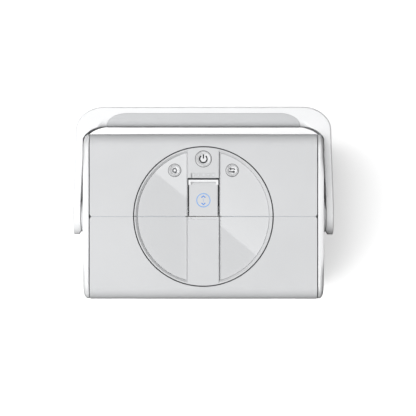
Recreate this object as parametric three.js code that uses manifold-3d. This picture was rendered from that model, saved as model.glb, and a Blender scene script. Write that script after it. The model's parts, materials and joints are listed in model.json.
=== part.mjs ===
import * as THREE from 'three';
import { mergeVertices } from 'three/addons/utils/BufferGeometryUtils.js';
import Module from 'manifold-3d';

// A portable water bath cooker: a box that holds a heated, stirred tank, closed by a lid of two leaves that
// part at the middle of the top, and carried by a bail handle that swings over it and folds back behind it.
// Millimetres, +Z up. The box is modelled about its own centre line, and the whole group is moved along Y at
// the end, so that the origin lies on the floor under the middle of the overall outline.

// ---- Driving dimensions: casing ----
const HALF_X = 113.8;           // casing, half width
const HALF_Y = 83;              // casing, half depth
const TOP_Z = 150;              // top face
const EDGE_R = 12.5;            // round along the top's front and rear edges
const WALL = 2.5;               // moulded walls
const SKIN = 2.4;               // leaf skin
const FIT = 0.4;                // gap between neighbouring pieces
const FOOT_H = 4;               // height of the feet under the casing
const BOTTOM_R = 14;            // round along the bottom's front and rear edges

// ---- Driving dimensions: lid leaves ----
const SEAM = 0.4;               // half the gap between the two leaves
const SEAM_CORNER_R = 2.5;      // plan rounding of a leaf's corners at the seam
const LEAF_Z = 137.4;           // underside of the leaves
const HINGE_Y = 80;             // hinge axes, on both sides of the middle
const HINGE_Z = 137;
const BARREL_R = 3;
const PIN_R = 1.3;
const KNUCKLE_X = [68, 92];     // where the tub's knuckles stand between the barrels
const PIN_X = [60, 100];

// ---- Driving dimensions: round inlay ----
const RING_R = 70.4;            // hole in the leaves
const INLAY_R = 69.2;           // inlay disc: the rest of the ring is an open groove
const FLANGE_R = 73;
const INLAY_Z = 144.6;          // underside of the inlay
const POCKET_TOP_R = 68;        // the panes lie in pockets with a sloping wall
const POCKET_R = 66;
const PANE_TOP = 148;
const PANE_Z = 146.6;
const POCKET_Z = 146.3;
const STRIP_TOP_X = 15.3;       // half width of the strip that crosses the disc
const STRIP_X = 16.4;

// ---- Driving dimensions: controls ----
const POWER_Y = 57.6;
const SIDE_BUTTON = { x: 28.8, y: 46.2 };
const POWER_BEZEL_R = 8.2;
const SIDE_BEZEL_R = 6.6;
const BEZEL_W = 0.7;
const BUTTON_TRAVEL = 1;
const STEM_R = 3;
const STEM_END_Z = 144.3;
const POWER_RIM_Z = TOP_Z - 0.3;
const SIDE_RIM_Z = PANE_TOP + 0.7;
const CAP_T = 1.8;
const CAP_ROOM = CAP_T + BUTTON_TRAVEL + 0.3;
const LIGHT_Y = 41.5;
const LIGHT_PITCH = 5;
const LIGHT_R = 1.15;
const SCOOP = { x: 12.4, shallow: 44.5, deep: 38.6, depth: 1.8 };

// ---- Driving dimensions: latch ----
const LATCH_X = 14.2;
const LATCH_HEAD_X = 15;
const LATCH_Y = [0.7, 36.8];
const LATCH_HEAD_Y = 31.5;
const LATCH_T = 2.8;
const WELL_X = 15.9;
const WELL_Y = 38.6;
const WELL_Z = 145.4;
const FOOT_WELL_Y = 9.5;
const FOOT_WELL_Z = 142;
const AXLE_Y = 5.5;
const AXLE_Z = 147.6;
const AXLE_R = 1;

// ---- Driving dimensions: side plates and handle ----
const PLATE_X = [114.8, 120.9];
const PLATE_CORNER_R = 18;
const PLATE_EDGE = { deep: 4.4, wide: 10 };
const PIVOT_Z = 120;
const SHAFT_R = 5;
const BOSS_R = 14;
const ARM_X = [124, 131.6];     // arm at the hub
const ARM_NEAR_X = 122.2;       // its inner face where the corner starts
const ARM_MID_X = [123.4, 129.1]; // ends of the corner's inner and outer curves
const HUB_R = 18.5;
const BAR_Y = [91, 110.9];      // crossbar, measured from the pivot
const BAR_HALF_Z = 15;
const BAR_INNER_R = 8;
const BAR_OUTER_R = 2;
const OUTER_CORNER = { x: 29.6, y: 23.5 };
const INNER_CORNER = { x: 24.9, y: 19 };
const GRIP = { x: 98, y: 104.2, end: 21, thick: 2 };

// ---- Driving dimensions: tank and drive ----
const TANK = { x: 104, y: 71.5, r: 18, wall: 1, floor: 45, rim: 130.4 };
const RIM = { x: 110.6, y: 79.4 };
const DRIVE_X = -78;
const PROBE = { x: -62, y: 46 };
const POST = { x: 100, y: 60, r: 4.5, top: 24 };

const Y_MIDDLE = (BAR_Y[1] - HALF_Y) / 2;

// ---- Solids ----
const wasm = await Module();
wasm.setup();

function solid(geometry) {
  const bare = geometry.clone();
  bare.deleteAttribute('normal');
  bare.deleteAttribute('uv');
  const merged = mergeVertices(bare, 1e-4);
  const points = merged.attributes.position.array;
  const corners = merged.index.array;
  const triangles = [];
  let volume = 0;
  for (let i = 0; i < corners.length; i += 3) {
    const [a, b, c] = [corners[i], corners[i + 1], corners[i + 2]];
    if (a === b || b === c || c === a) continue;
    triangles.push([a, b, c]);
    const [pa, pb, pc] = [a, b, c].map((k) => new THREE.Vector3().fromArray(points, 3 * k));
    volume += pa.dot(pb.cross(pc));
  }
  const turned = volume < 0 ? triangles.map(([a, b, c]) => [a, c, b]) : triangles;
  return new wasm.Manifold(new wasm.Mesh({
    numProp: 3,
    vertProperties: Float32Array.from(points),
    triVerts: Uint32Array.from(turned.flat()),
  }));
}

function surface(body) {
  const mesh = body.getMesh();
  const geometry = new THREE.BufferGeometry();
  geometry.setAttribute('position', new THREE.BufferAttribute(Float32Array.from(mesh.vertProperties), 3));
  geometry.setIndex(Array.from(mesh.triVerts));
  const faceted = geometry.toNonIndexed();
  faceted.computeVertexNormals();
  return faceted;
}

const cut = (body, ...tools) => tools.reduce((left, tool) => left.subtract(tool), body);
const join = (body, ...others) => others.reduce((sum, other) => sum.add(other), body);

function box([x0, x1], [y0, y1], [z0, z1]) {
  const geometry = new THREE.BoxGeometry(x1 - x0, y1 - y0, z1 - z0);
  return solid(geometry.translate((x0 + x1) / 2, (y0 + y1) / 2, (z0 + z1) / 2));
}

function extruded(shape, depth, segments) {
  return new THREE.ExtrudeGeometry(shape, { depth, bevelEnabled: false, curveSegments: segments });
}

// An outline in X and Y, from z0 up to z1
function extrudeZ(shape, [z0, z1], segments = 6) {
  return solid(extruded(shape, z1 - z0, segments).translate(0, 0, z0));
}

// An outline in Y and Z, from x0 to x1
function extrudeX(shape, [x0, x1], segments = 6) {
  const turn = new THREE.Matrix4().makeBasis(
    new THREE.Vector3(0, 1, 0), new THREE.Vector3(0, 0, 1), new THREE.Vector3(1, 0, 0));
  return solid(extruded(shape, x1 - x0, segments).applyMatrix4(turn).translate(x0, 0, 0));
}

// An outline in X and Z, from y0 to y1
function extrudeY(shape, [y0, y1], segments = 6) {
  return solid(extruded(shape, y1 - y0, segments).rotateX(Math.PI / 2).translate(0, y1, 0));
}

function coneZ(bottomR, topR, [z0, z1], [x, y] = [0, 0], sides = 20) {
  const geometry = new THREE.CylinderGeometry(topR, bottomR, z1 - z0, sides);
  return solid(geometry.rotateX(Math.PI / 2).translate(x, y, (z0 + z1) / 2));
}

const cylinderZ = (r, z, at, sides = 20) => coneZ(r, r, z, at, sides);

function cylinderX(r, [x0, x1], [y, z], sides = 16) {
  const geometry = new THREE.CylinderGeometry(r, r, x1 - x0, sides);
  return solid(geometry.rotateZ(Math.PI / 2).translate((x0 + x1) / 2, y, z));
}

function latheZ(points, sides = 24) {
  const profile = points.map(([r, z]) => new THREE.Vector2(r, z));
  return solid(new THREE.LatheGeometry(profile, sides).rotateX(Math.PI / 2));
}

function outline(points) {
  return new THREE.Shape(points.map(([u, v]) => new THREE.Vector2(u, v)));
}

function roundedRect([u0, u1], [v0, v1], r) {
  const shape = new THREE.Shape();
  shape.moveTo(u0 + r, v0);
  shape.lineTo(u1 - r, v0);
  shape.absarc(u1 - r, v0 + r, r, -Math.PI / 2, 0);
  shape.lineTo(u1, v1 - r);
  shape.absarc(u1 - r, v1 - r, r, 0, Math.PI / 2);
  shape.lineTo(u0 + r, v1);
  shape.absarc(u0 + r, v1 - r, r, Math.PI / 2, Math.PI);
  shape.lineTo(u0, v0 + r);
  shape.absarc(u0 + r, v0 + r, r, Math.PI, 1.5 * Math.PI);
  return shape;
}

const both = (half) => [-half, half];
const block = (halfX, halfY, z, r, segments) => extrudeZ(roundedRect(both(halfX), both(halfY), r), z, segments);

// ---- Scene graph ----
const finishes = {
  shell: ['#d9dadb', 0.55, 0],
  pane: ['#d6d7d9', 0.12, 0],
  white: ['#f2f2f3', 0.4, 0],
  grip: ['#cfd0d2', 0.75, 0],
  silver: ['#e6e7e9', 0.3, 0.3],
  steel: ['#b9bcc0', 0.3, 1],
  darkPlastic: ['#3a3b3e', 0.6, 0],
  rubber: ['#2c2d2f', 0.85, 0],
  silicone: ['#c9cdd1', 0.7, 0],
  board: ['#2f5d46', 0.6, 0],
  magnet: ['#4c4f54', 0.45, 0.6],
  light: ['#eef1f6', 0.25, 0],
};

function finish(name) {
  const [color, roughness, metalness] = finishes[name];
  return new THREE.MeshStandardMaterial({ color, roughness, metalness });
}

const cooker = new THREE.Group();
const handle = new THREE.Group();
handle.position.set(0, 0, PIVOT_Z);
cooker.add(handle);

function place(name, body, look, { at = [0, 0, 0], turn = 0, parent = cooker } = {}) {
  const mesh = new THREE.Mesh(surface(body), finish(look));
  mesh.name = name;
  mesh.position.set(...at);
  mesh.rotation.z = turn;
  parent.add(mesh);
}

const corners = [['front_left', -1, -1], ['front_right', 1, -1], ['rear_left', -1, 1], ['rear_right', 1, 1]];
const sides = [['left', -1], ['right', 1]];

// ---- Casing ----
const TUB_TOP_Z = HINGE_Z - BARREL_R - 0.6;
const END_TOP_Z = LEAF_Z - 0.9;
const LEDGE = { x: 107, y: 75, z: [127, 130] };
const BASE_Y = HALF_Y - BOTTOM_R - 2;   // the base plate lies between the sills
const INLET = { x: 62, z: 31.5, halfX: 15, halfZ: 12 };

function tubShell() {
  const flank = roundedRect(both(HALF_Y), [FOOT_H, END_TOP_Z + 2 * BOTTOM_R], BOTTOM_R);
  const inside = block(HALF_X - WALL, HALF_Y - WALL, [FOOT_H + BOTTOM_R, END_TOP_Z + 1], 2, 2);
  let tub = block(HALF_X, HALF_Y, [FOOT_H, END_TOP_Z], 1, 2).intersect(extrudeX(flank, both(HALF_X + 1), 5));
  tub = cut(tub, inside, block(HALF_X - WALL, BASE_Y + FIT, [FOOT_H - 1, FOOT_H + BOTTOM_R + 1], 2, 2));
  const ledge = cut(block(HALF_X - 1, HALF_Y - 1, LEDGE.z, 1, 1), block(LEDGE.x, LEDGE.y, [120, 135], 10, 3));
  tub = join(tub, ledge);
  for (const [, sx, sy] of corners) {
    const [x, y] = [sx * POST.x, sy * POST.y];
    const post = cylinderZ(POST.r, [FOOT_H + 3.4, POST.top], [x, y], 12);
    const webX = box([x, sx * (HALF_X - 1)].sort((a, b) => a - b), [y - 1, y + 1], [FOOT_H + 3.4, POST.top]);
    tub = join(tub, post, webX);
  }
  for (const sy of [-1, 1]) {
    const low = [sy * (HALF_Y - WALL - 1), sy * (HALF_Y + 1)].sort((a, b) => a - b);
    tub = cut(tub, box(both(HALF_X - WALL), low, [TUB_TOP_Z, END_TOP_Z + 1]));
    const barrelSwept = cylinderX(BARREL_R + 0.7, both(HALF_X + 1), [sy * HINGE_Y, HINGE_Z], 12);
    tub = cut(tub, barrelSwept, box(both(HALF_X + 1), low, [TUB_TOP_Z, END_TOP_Z + 1]));
    for (const sx of [-1, 1]) {
      const x = [sx * (KNUCKLE_X[0] + FIT), sx * (KNUCKLE_X[1] - FIT)].sort((a, b) => a - b);
      const web = box(x, [sy * HINGE_Y - 1.6, sy * HINGE_Y + 1.4], [TUB_TOP_Z - 1, HINGE_Z]);
      tub = join(tub, web, cylinderX(BARREL_R, x, [sy * HINGE_Y, HINGE_Z], 12));
      tub = cut(tub, cylinderX(PIN_R + FIT, [x[0] - 1, x[1] + 1], [sy * HINGE_Y, HINGE_Z], 8));
    }
  }
  for (const sx of [-1, 1]) {
    const through = [sx * (HALF_X + 1), sx * (HALF_X - WALL - 1)].sort((a, b) => a - b);
    tub = cut(tub, cylinderX(SHAFT_R + FIT, through, [0, PIVOT_Z], 20));
  }
  for (const [, sx, sy] of corners) {
    tub = cut(tub, cylinderZ(2.3, [FOOT_H, POST.top - 3], [sx * POST.x, sy * POST.y], 12));
  }
  const socket = box([INLET.x - INLET.halfX - FIT, INLET.x + INLET.halfX + FIT], [HALF_Y - 5, HALF_Y + 1],
    [INLET.z - INLET.halfZ - FIT, INLET.z + INLET.halfZ + FIT]);
  return cut(tub, socket);
}

function basePlate() {
  let plate = block(HALF_X - WALL - FIT, BASE_Y, [FOOT_H, FOOT_H + 3], 2, 2);
  for (const [, sx, sy] of corners) {
    plate = cut(plate, cylinderZ(2.3, [FOOT_H - 1, FOOT_H + 4], [sx * POST.x, sy * POST.y], 12));
  }
  return plate;
}

function foot() {
  return cut(coneZ(8, 9, [0, FOOT_H - 0.3], [0, 0], 16), cylinderZ(4.3, [-1, FOOT_H], [0, 0], 12));
}

function baseScrew() {
  return join(cylinderZ(3.8, [1.8, FOOT_H - 0.3], [0, 0], 12), cylinderZ(1.8, [FOOT_H - 0.5, 19], [0, 0], 8));
}

function powerInlet() {
  const y = [HALF_Y - 22, HALF_Y + 2.3];
  const flange = extrudeY(roundedRect(both(18.5), both(13.5), 3), [HALF_Y + 0.3, y[1]], 3);
  const body = extrudeY(roundedRect(both(INLET.halfX), both(INLET.halfZ), 2), [y[0], HALF_Y + 1], 3);
  const socketShape = outline([[-12, -8.5], [12, -8.5], [12, 4], [7.5, 8.5], [-7.5, 8.5], [-12, 4]]);
  const socket = extrudeY(socketShape, [HALF_Y - 14, HALF_Y + 4]);
  let inlet = cut(join(body, flange), socket);
  for (const [x, z] of [[-7, -2], [0, 2], [7, -2]]) {
    inlet = join(inlet, box([x - 1, x + 1], [HALF_Y - 15, HALF_Y - 4], [z - 2, z + 2]));
  }
  return inlet;
}

place('tub_shell', tubShell(), 'shell');
place('base_plate', basePlate(), 'darkPlastic');
place('power_inlet', powerInlet(), 'darkPlastic', { at: [INLET.x, 0, INLET.z] });
for (const [where, sx, sy] of corners) {
  place(`foot_${where}`, foot(), 'rubber', { at: [sx * POST.x, sy * POST.y, 0] });
  place(`base_screw_${where}`, baseScrew(), 'steel', { at: [sx * POST.x, sy * POST.y, 0] });
}

// ---- Side plates: crowned panels that close the casing's ends ----
function sidePlate() {
  const [low, high] = [FOOT_H + PLATE_EDGE.wide, TOP_Z - PLATE_EDGE.wide];
  const face = roundedRect(both(HALF_Y - PLATE_EDGE.wide), [low, high], PLATE_CORNER_R - PLATE_EDGE.wide);
  const geometry = new THREE.ExtrudeGeometry(face, {
    depth: PLATE_X[1] - PLATE_X[0] - PLATE_EDGE.deep + 6,
    bevelThickness: PLATE_EDGE.deep,
    bevelSize: PLATE_EDGE.wide,
    bevelSegments: 4,
    curveSegments: 4,
  });
  const turn = new THREE.Matrix4().makeBasis(
    new THREE.Vector3(0, 1, 0), new THREE.Vector3(0, 0, 1), new THREE.Vector3(1, 0, 0));
  const crowned = solid(geometry.applyMatrix4(turn).translate(PLATE_X[0] - 6, 0, 0));
  const behind = box([PLATE_X[0] - 20, PLATE_X[0]], both(HALF_Y + 9), [-9, TOP_Z + 9]);
  const shaftHole = cylinderX(SHAFT_R + FIT, [PLATE_X[0] - 1, PLATE_X[1] + 1], [0, PIVOT_Z], 20);
  return cut(crowned, behind, shaftHole);
}

function pivotBoss() {
  const ring = cylinderX(BOSS_R, [PLATE_X[1] + 0.3, ARM_X[0] - 0.8], [0, 0], 28);
  return cut(ring, cylinderX(SHAFT_R + FIT, [PLATE_X[1] - 1, ARM_X[0] + 1], [0, 0], 20));
}

function pivotShaft() {
  const nut = cylinderX(6.6, [107.6, HALF_X - WALL - 0.4], [0, 0], 6);
  return join(nut, cylinderX(SHAFT_R, [110, ARM_X[1] - 2], [0, 0], 20));
}

for (const [side, sx] of sides) {
  const turn = sx < 0 ? Math.PI : 0;
  place(`side_plate_${side}`, sidePlate(), 'white', { turn });
  place(`pivot_boss_${side}`, pivotBoss(), 'white', { at: [0, 0, PIVOT_Z], turn });
  place(`pivot_shaft_${side}`, pivotShaft(), 'steel', { at: [0, 0, PIVOT_Z], turn });
}

// ---- Hinge pins ----
for (const [where, sx, sy] of corners) {
  const x = [sx * PIN_X[0], sx * PIN_X[1]].sort((a, b) => a - b);
  place(`hinge_pin_${where}`, cylinderX(PIN_R, x, [0, 0], 10), 'steel', { at: [0, sy * HINGE_Y, HINGE_Z] });
}

// ---- Lid leaves, modelled for the rear and turned half a circle for the front ----
function leafShell(hasLatchWell) {
  const flank = new THREE.Shape();
  flank.moveTo(SEAM, LEAF_Z);
  flank.lineTo(HALF_Y, LEAF_Z);
  flank.lineTo(HALF_Y, TOP_Z - EDGE_R);
  flank.absarc(HALF_Y - EDGE_R, TOP_Z - EDGE_R, EDGE_R, 0, Math.PI / 2);
  flank.lineTo(SEAM, TOP_Z);
  const room = new THREE.Shape();
  room.moveTo(SEAM + SKIN, LEAF_Z - 1);
  room.lineTo(HALF_Y - SKIN, LEAF_Z - 1);
  room.lineTo(HALF_Y - SKIN, TOP_Z - EDGE_R);
  room.absarc(HALF_Y - EDGE_R, TOP_Z - EDGE_R, EDGE_R - SKIN, 0, Math.PI / 2);
  room.lineTo(SEAM + SKIN, TOP_Z - SKIN);
  let leaf = cut(extrudeX(flank, both(HALF_X), 8), extrudeX(room, both(HALF_X - SKIN), 5));
  const plan = roundedRect(both(HALF_X), [SEAM, HALF_Y + 20], SEAM_CORNER_R);
  leaf = leaf.intersect(extrudeZ(plan, [LEAF_Z - 9, TOP_Z + 9], 4));
  const axis = [HINGE_Y, HINGE_Z];
  leaf = join(leaf, cylinderX(BARREL_R, both(HALF_X - 0.4), axis, 16));
  for (const sx of [-1, 1]) {
    const gap = KNUCKLE_X.map((x) => sx * x).sort((a, b) => a - b);
    leaf = cut(leaf, box(gap, [HINGE_Y - BARREL_R - 1, HALF_Y + 1], [HINGE_Z - 5, HINGE_Z + 4.2]));
    const pin = [sx * (PIN_X[0] - 1), sx * (PIN_X[1] + 1)].sort((a, b) => a - b);
    leaf = cut(leaf, cylinderX(PIN_R + FIT, pin, axis, 8));
  }
  leaf = cut(leaf, cylinderZ(RING_R, [INLAY_Z - FIT, TOP_Z + 1], [0, 0], 48));
  if (!hasLatchWell) return leaf;
  return cut(leaf, box(both(WELL_X + 1.8 + FIT), [-1, SEAM + SKIN + 1], [FOOT_WELL_Z - 1.5 - FIT, TOP_Z]));
}

// The half disc that fills the ring, with a pocket on each side of the strip
function inlayBlank() {
  const behindSeam = box(both(80), [SEAM, 80], [130, TOP_Z + 9]);
  const disc = cylinderZ(INLAY_R, [INLAY_Z, TOP_Z], [0, 0], 48);
  const behindWall = box(both(80), [SEAM + SKIN + FIT, 80], [130, TOP_Z + 9]);
  const flange = cylinderZ(FLANGE_R, [INLAY_Z, TOP_Z - SKIN - 2 * FIT], [0, 0], 36).intersect(behindWall);
  const blank = join(disc.intersect(behindSeam), flange);
  const wall = coneZ(POCKET_R, POCKET_TOP_R, [PANE_TOP, TOP_Z], [0, 0], 48);
  const above = cylinderZ(POCKET_TOP_R, [TOP_Z, TOP_Z + 1], [0, 0], 48);
  const below = cylinderZ(POCKET_R, [POCKET_Z, PANE_TOP], [0, 0], 48);
  const strip = outline([
    [-STRIP_X, POCKET_Z - 1], [STRIP_X, POCKET_Z - 1], [STRIP_X, PANE_TOP], [STRIP_TOP_X, TOP_Z],
    [STRIP_TOP_X, TOP_Z + 2], [-STRIP_TOP_X, TOP_Z + 2], [-STRIP_TOP_X, TOP_Z], [-STRIP_X, PANE_TOP],
  ]);
  return cut(blank, cut(join(wall, above, below), extrudeY(strip, both(80))));
}

function rearInlay() {
  const wellBox = box(both(WELL_X + 1.8), [SEAM, FOOT_WELL_Y + 1.5], [FOOT_WELL_Z - 1.5, INLAY_Z + 1]);
  let inlay = join(inlayBlank(), wellBox);
  inlay = cut(inlay,
    box(both(WELL_X), [SEAM - 1, WELL_Y], [WELL_Z, TOP_Z + 1]),
    box(both(WELL_X), [SEAM - 1, FOOT_WELL_Y], [FOOT_WELL_Z, TOP_Z + 1]),
    box(both(STRIP_X + 1), [SEAM - 1, WELL_Y], [148.6, TOP_Z + 1]),
    cylinderX(AXLE_R + FIT, both(STRIP_X + 0.2), [AXLE_Y, AXLE_Z], 12));
  const ramp = outline([
    [SCOOP.shallow, TOP_Z], [SCOOP.shallow, TOP_Z + 1], [SCOOP.deep - 1, TOP_Z + 1],
    [SCOOP.deep - 1, TOP_Z - SCOOP.depth], [SCOOP.deep, TOP_Z - SCOOP.depth],
  ]);
  inlay = cut(inlay, extrudeX(ramp, both(SCOOP.x)));
  for (let k = -2; k <= 2; k++) {
    inlay = cut(inlay, cylinderZ(LIGHT_R + FIT, [INLAY_Z - 1, TOP_Z], [k * LIGHT_PITCH, LIGHT_Y], 10));
  }
  inlay = cut(inlay,
    cylinderZ(POWER_BEZEL_R + 0.3, [TOP_Z - 0.9, TOP_Z + 1], [0, POWER_Y]),
    cylinderZ(POWER_BEZEL_R - 0.2, [POWER_RIM_Z - CAP_ROOM, TOP_Z + 1], [0, POWER_Y]),
    cylinderZ(STEM_R + FIT, [INLAY_Z - 1, TOP_Z], [0, POWER_Y], 12));
  for (const [, sx] of sides) {
    const at = [sx * SIDE_BUTTON.x, SIDE_BUTTON.y];
    inlay = cut(inlay,
      cylinderZ(SIDE_BEZEL_R - 0.2, [SIDE_RIM_Z - CAP_ROOM, TOP_Z], at),
      cylinderZ(STEM_R + FIT, [INLAY_Z - 1, TOP_Z], at, 12));
  }
  return inlay;
}

// Modelled for the rear like the blank: the magnet's pocket opens below, the shallow recess at the seam
function frontInlay() {
  return cut(inlayBlank(),
    box(both(11.4), [1.5, 4.9], [INLAY_Z - 1, 147.7]),
    box(both(12.5), [SEAM - 1, 2.9], [TOP_Z - 0.4, TOP_Z + 1]));
}

function pane(hasButton) {
  const [r, x, y] = [POCKET_R - FIT, STRIP_X + FIT, SEAM + 0.1];
  const shape = new THREE.Shape();
  shape.moveTo(x, y);
  shape.lineTo(Math.sqrt(r * r - y * y), y);
  shape.absarc(0, 0, r, Math.asin(y / r), Math.acos(x / r));
  shape.lineTo(x, y);
  const plate = extrudeZ(shape, [PANE_Z, PANE_TOP], 24);
  if (!hasButton) return plate;
  return cut(plate, cylinderZ(SIDE_BEZEL_R - 0.2, [PANE_Z - 1, PANE_TOP + 1], [SIDE_BUTTON.x, SIDE_BUTTON.y]));
}

function liner() {
  const plan = roundedRect(both(109), [SEAM + SKIN + FIT, HINGE_Y - BARREL_R - 0.8], 4);
  const tray = extrudeZ(plan, [LEAF_Z, LEAF_Z + 1.8], 4);
  const panel = roundedRect(both(98), [8, 68], 10);
  return cut(tray, extrudeZ(panel, [LEAF_Z - 1, LEAF_Z + 0.6], 4));
}

// A quadrant pane in the other quadrant, across X
function mirroredX(body) {
  return solid(surface(body).scale(-1, 1, 1));
}

place('front_leaf_shell', leafShell(false), 'shell', { turn: Math.PI });
place('front_inlay', frontInlay(), 'shell', { turn: Math.PI });
place('front_pane_left', pane(false), 'pane', { turn: Math.PI });
place('front_pane_right', mirroredX(pane(false)), 'pane', { turn: Math.PI });
place('front_liner', liner(), 'white', { turn: Math.PI });
place('latch_magnet', box(both(11), both(1.3), both(1.3)), 'magnet', { at: [0, -3.2, 146.1] });
place('rear_leaf_shell', leafShell(true), 'shell');
place('rear_inlay', rearInlay(), 'shell');
place('rear_pane_left', mirroredX(pane(true)), 'pane');
place('rear_pane_right', pane(true), 'pane');
place('rear_liner', liner(), 'white');

// ---- Controls in the rear leaf ----
function bezel(r, bodyDepth) {
  const inner = r - BEZEL_W;
  return latheZ([
    [inner, 0], [r - 0.25, 0], [r, -0.25], [r, -0.5], [r - 0.5, -0.5], [r - 0.5, -bodyDepth], [inner, -bodyDepth],
    [inner, 0],
  ], 20);
}

// A dished cap on a stem; z = 0 is the cap's rim
function button(r, stemDepth) {
  return latheZ([
    [0, -1], [0.62 * r, -1], [0.9 * r, -0.15], [r - 0.15, 0], [r, -0.2], [r, -CAP_T], [STEM_R, -CAP_T],
    [STEM_R, -stemDepth], [0, -stemDepth],
  ], 20);
}

function buttonBoard() {
  let board = extrudeZ(roundedRect(both(36), [38, 66], 2), [139.6, 141], 3);
  for (const [x, y] of [[0, POWER_Y], [SIDE_BUTTON.x, SIDE_BUTTON.y], [-SIDE_BUTTON.x, SIDE_BUTTON.y]]) {
    board = join(board, cylinderZ(2.6, [140.5, 143], [x, y], 12));
  }
  return board;
}

function lightBar() {
  let bar = box(both(12), [LIGHT_Y - 1.5, LIGHT_Y + 1.5], [142.6, 144.2]);
  for (let k = -2; k <= 2; k++) {
    bar = join(bar, cylinderZ(LIGHT_R, [144, 149], [k * LIGHT_PITCH, LIGHT_Y], 10));
  }
  return bar;
}

place('power_bezel', bezel(POWER_BEZEL_R, 2.2), 'silver', { at: [0, POWER_Y, TOP_Z - 0.1] });
place('power_button', button(POWER_BEZEL_R - BEZEL_W - 0.35, POWER_RIM_Z - STEM_END_Z), 'silver',
  { at: [0, POWER_Y, POWER_RIM_Z] });
for (const [side, sx] of sides) {
  const at = (z) => [sx * SIDE_BUTTON.x, SIDE_BUTTON.y, z];
  place(`${side}_bezel`, bezel(SIDE_BEZEL_R, 1.6), 'silver', { at: at(PANE_TOP + 0.8) });
  place(`${side}_button`, button(SIDE_BEZEL_R - BEZEL_W - 0.35, SIDE_RIM_Z - STEM_END_Z), 'silver',
    { at: at(SIDE_RIM_Z) });
}
place('button_board', buttonBoard(), 'board');
place('light_bar', lightBar(), 'light');

// ---- Latch ----
function latchLever() {
  const z = [TOP_Z - LATCH_T, TOP_Z];
  const spring = both(5.5);
  let lever = join(box(both(LATCH_X), LATCH_Y, z), box(both(LATCH_HEAD_X), [LATCH_HEAD_Y, LATCH_Y[1]], z));
  lever = join(lever, cylinderX(AXLE_R + 1.3, both(LATCH_X), [AXLE_Y, AXLE_Z], 16));
  const thumbRamp = outline([
    [LATCH_Y[1] - 2.3, TOP_Z + 1], [LATCH_Y[1] - 2.3, TOP_Z - 1.2], [LATCH_Y[1] - 6.3, TOP_Z],
    [LATCH_Y[1] - 6.3, TOP_Z + 1],
  ]);
  return cut(lever,
    extrudeX(thumbRamp, both(12.2)),
    cylinderX(AXLE_R + 0.3, both(LATCH_X + 1), [AXLE_Y, AXLE_Z], 12),
    cylinderX(AXLE_R + 0.95, spring, [AXLE_Y, AXLE_Z], 16),
    box(spring, [AXLE_Y - 3, AXLE_Y + 3], [AXLE_Z - 3, AXLE_Z]));
}

// A torsion spring of plain helical turns round the latch's axle
function latchSpring() {
  const [turns, pitch, meanR, wireR, perTurn] = [6, 1.2, 1.6, 0.25, 8];
  const points = [];
  for (let k = 0; k <= turns * perTurn; k++) {
    const angle = (2 * Math.PI * k) / perTurn;
    const x = pitch * (k / perTurn - turns / 2);
    points.push(new THREE.Vector3(x, meanR * Math.cos(angle), meanR * Math.sin(angle)));
  }
  const section = outline([0, 1, 2, 3].map((k) => {
    const angle = (Math.PI * k) / 2;
    return [wireR * Math.cos(angle), wireR * Math.sin(angle)];
  }));
  const path = new THREE.CatmullRomCurve3(points);
  const steps = turns * perTurn;
  return solid(new THREE.ExtrudeGeometry(section, { steps, bevelEnabled: false, extrudePath: path }));
}

place('latch_lever', latchLever(), 'shell');
place('latch_armature', box(both(10), both(1), both(0.9)), 'steel', { at: [0, 2, 145.9] });
place('latch_axle', cylinderX(AXLE_R, both(16.2), [0, 0], 12), 'steel', { at: [0, AXLE_Y, AXLE_Z] });
place('latch_spring', latchSpring(), 'steel', { at: [0, AXLE_Y, AXLE_Z] });

// ---- Handle, modelled about its pivot axis and lying back along +Y ----
function halfEllipse(shape, [u, v], [ru, rv], from, to) {
  shape.absellipse(u, v, ru, rv, from, to, to < from);
}

function bailOutline() {
  const [outerX, innerX] = [ARM_MID_X[1], ARM_MID_X[0]];
  const outerY = BAR_Y[1] - OUTER_CORNER.y;
  const innerY = BAR_Y[0] - INNER_CORNER.y;
  const start = Math.acos((ARM_NEAR_X - innerX + INNER_CORNER.x) / INNER_CORNER.x);
  const shape = new THREE.Shape();
  shape.moveTo(ARM_X[1], -HUB_R - 1);
  shape.lineTo(ARM_X[1], 10);
  shape.lineTo(outerX, outerY);
  halfEllipse(shape, [outerX - OUTER_CORNER.x, outerY], [OUTER_CORNER.x, OUTER_CORNER.y], 0, Math.PI / 2);
  halfEllipse(shape, [OUTER_CORNER.x - outerX, outerY], [OUTER_CORNER.x, OUTER_CORNER.y], Math.PI / 2, Math.PI);
  shape.lineTo(-ARM_X[1], 10);
  shape.lineTo(-ARM_X[1], -HUB_R - 1);
  shape.lineTo(-ARM_X[0], -HUB_R - 1);
  shape.lineTo(-ARM_X[0], 14);
  halfEllipse(shape, [INNER_CORNER.x - innerX, innerY], [INNER_CORNER.x, INNER_CORNER.y], Math.PI - start, Math.PI / 2);
  halfEllipse(shape, [innerX - INNER_CORNER.x, innerY], [INNER_CORNER.x, INNER_CORNER.y], Math.PI / 2, start);
  shape.lineTo(ARM_X[0], 14);
  shape.lineTo(ARM_X[0], -HUB_R - 1);
  return shape;
}

// The strap seen from the side: round at the hub, narrower at the crossbar
function strapOutline() {
  const shape = new THREE.Shape();
  shape.absarc(0, 0, HUB_R, Math.PI / 2, 1.5 * Math.PI);
  shape.lineTo(70, -BAR_HALF_Z);
  shape.lineTo(BAR_Y[1] - BAR_OUTER_R, -BAR_HALF_Z);
  shape.lineTo(BAR_Y[1], -BAR_HALF_Z + BAR_OUTER_R);
  shape.lineTo(BAR_Y[1], BAR_HALF_Z - BAR_OUTER_R);
  shape.lineTo(BAR_Y[1] - BAR_OUTER_R, BAR_HALF_Z);
  shape.lineTo(70, BAR_HALF_Z);
  return shape;
}

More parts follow.
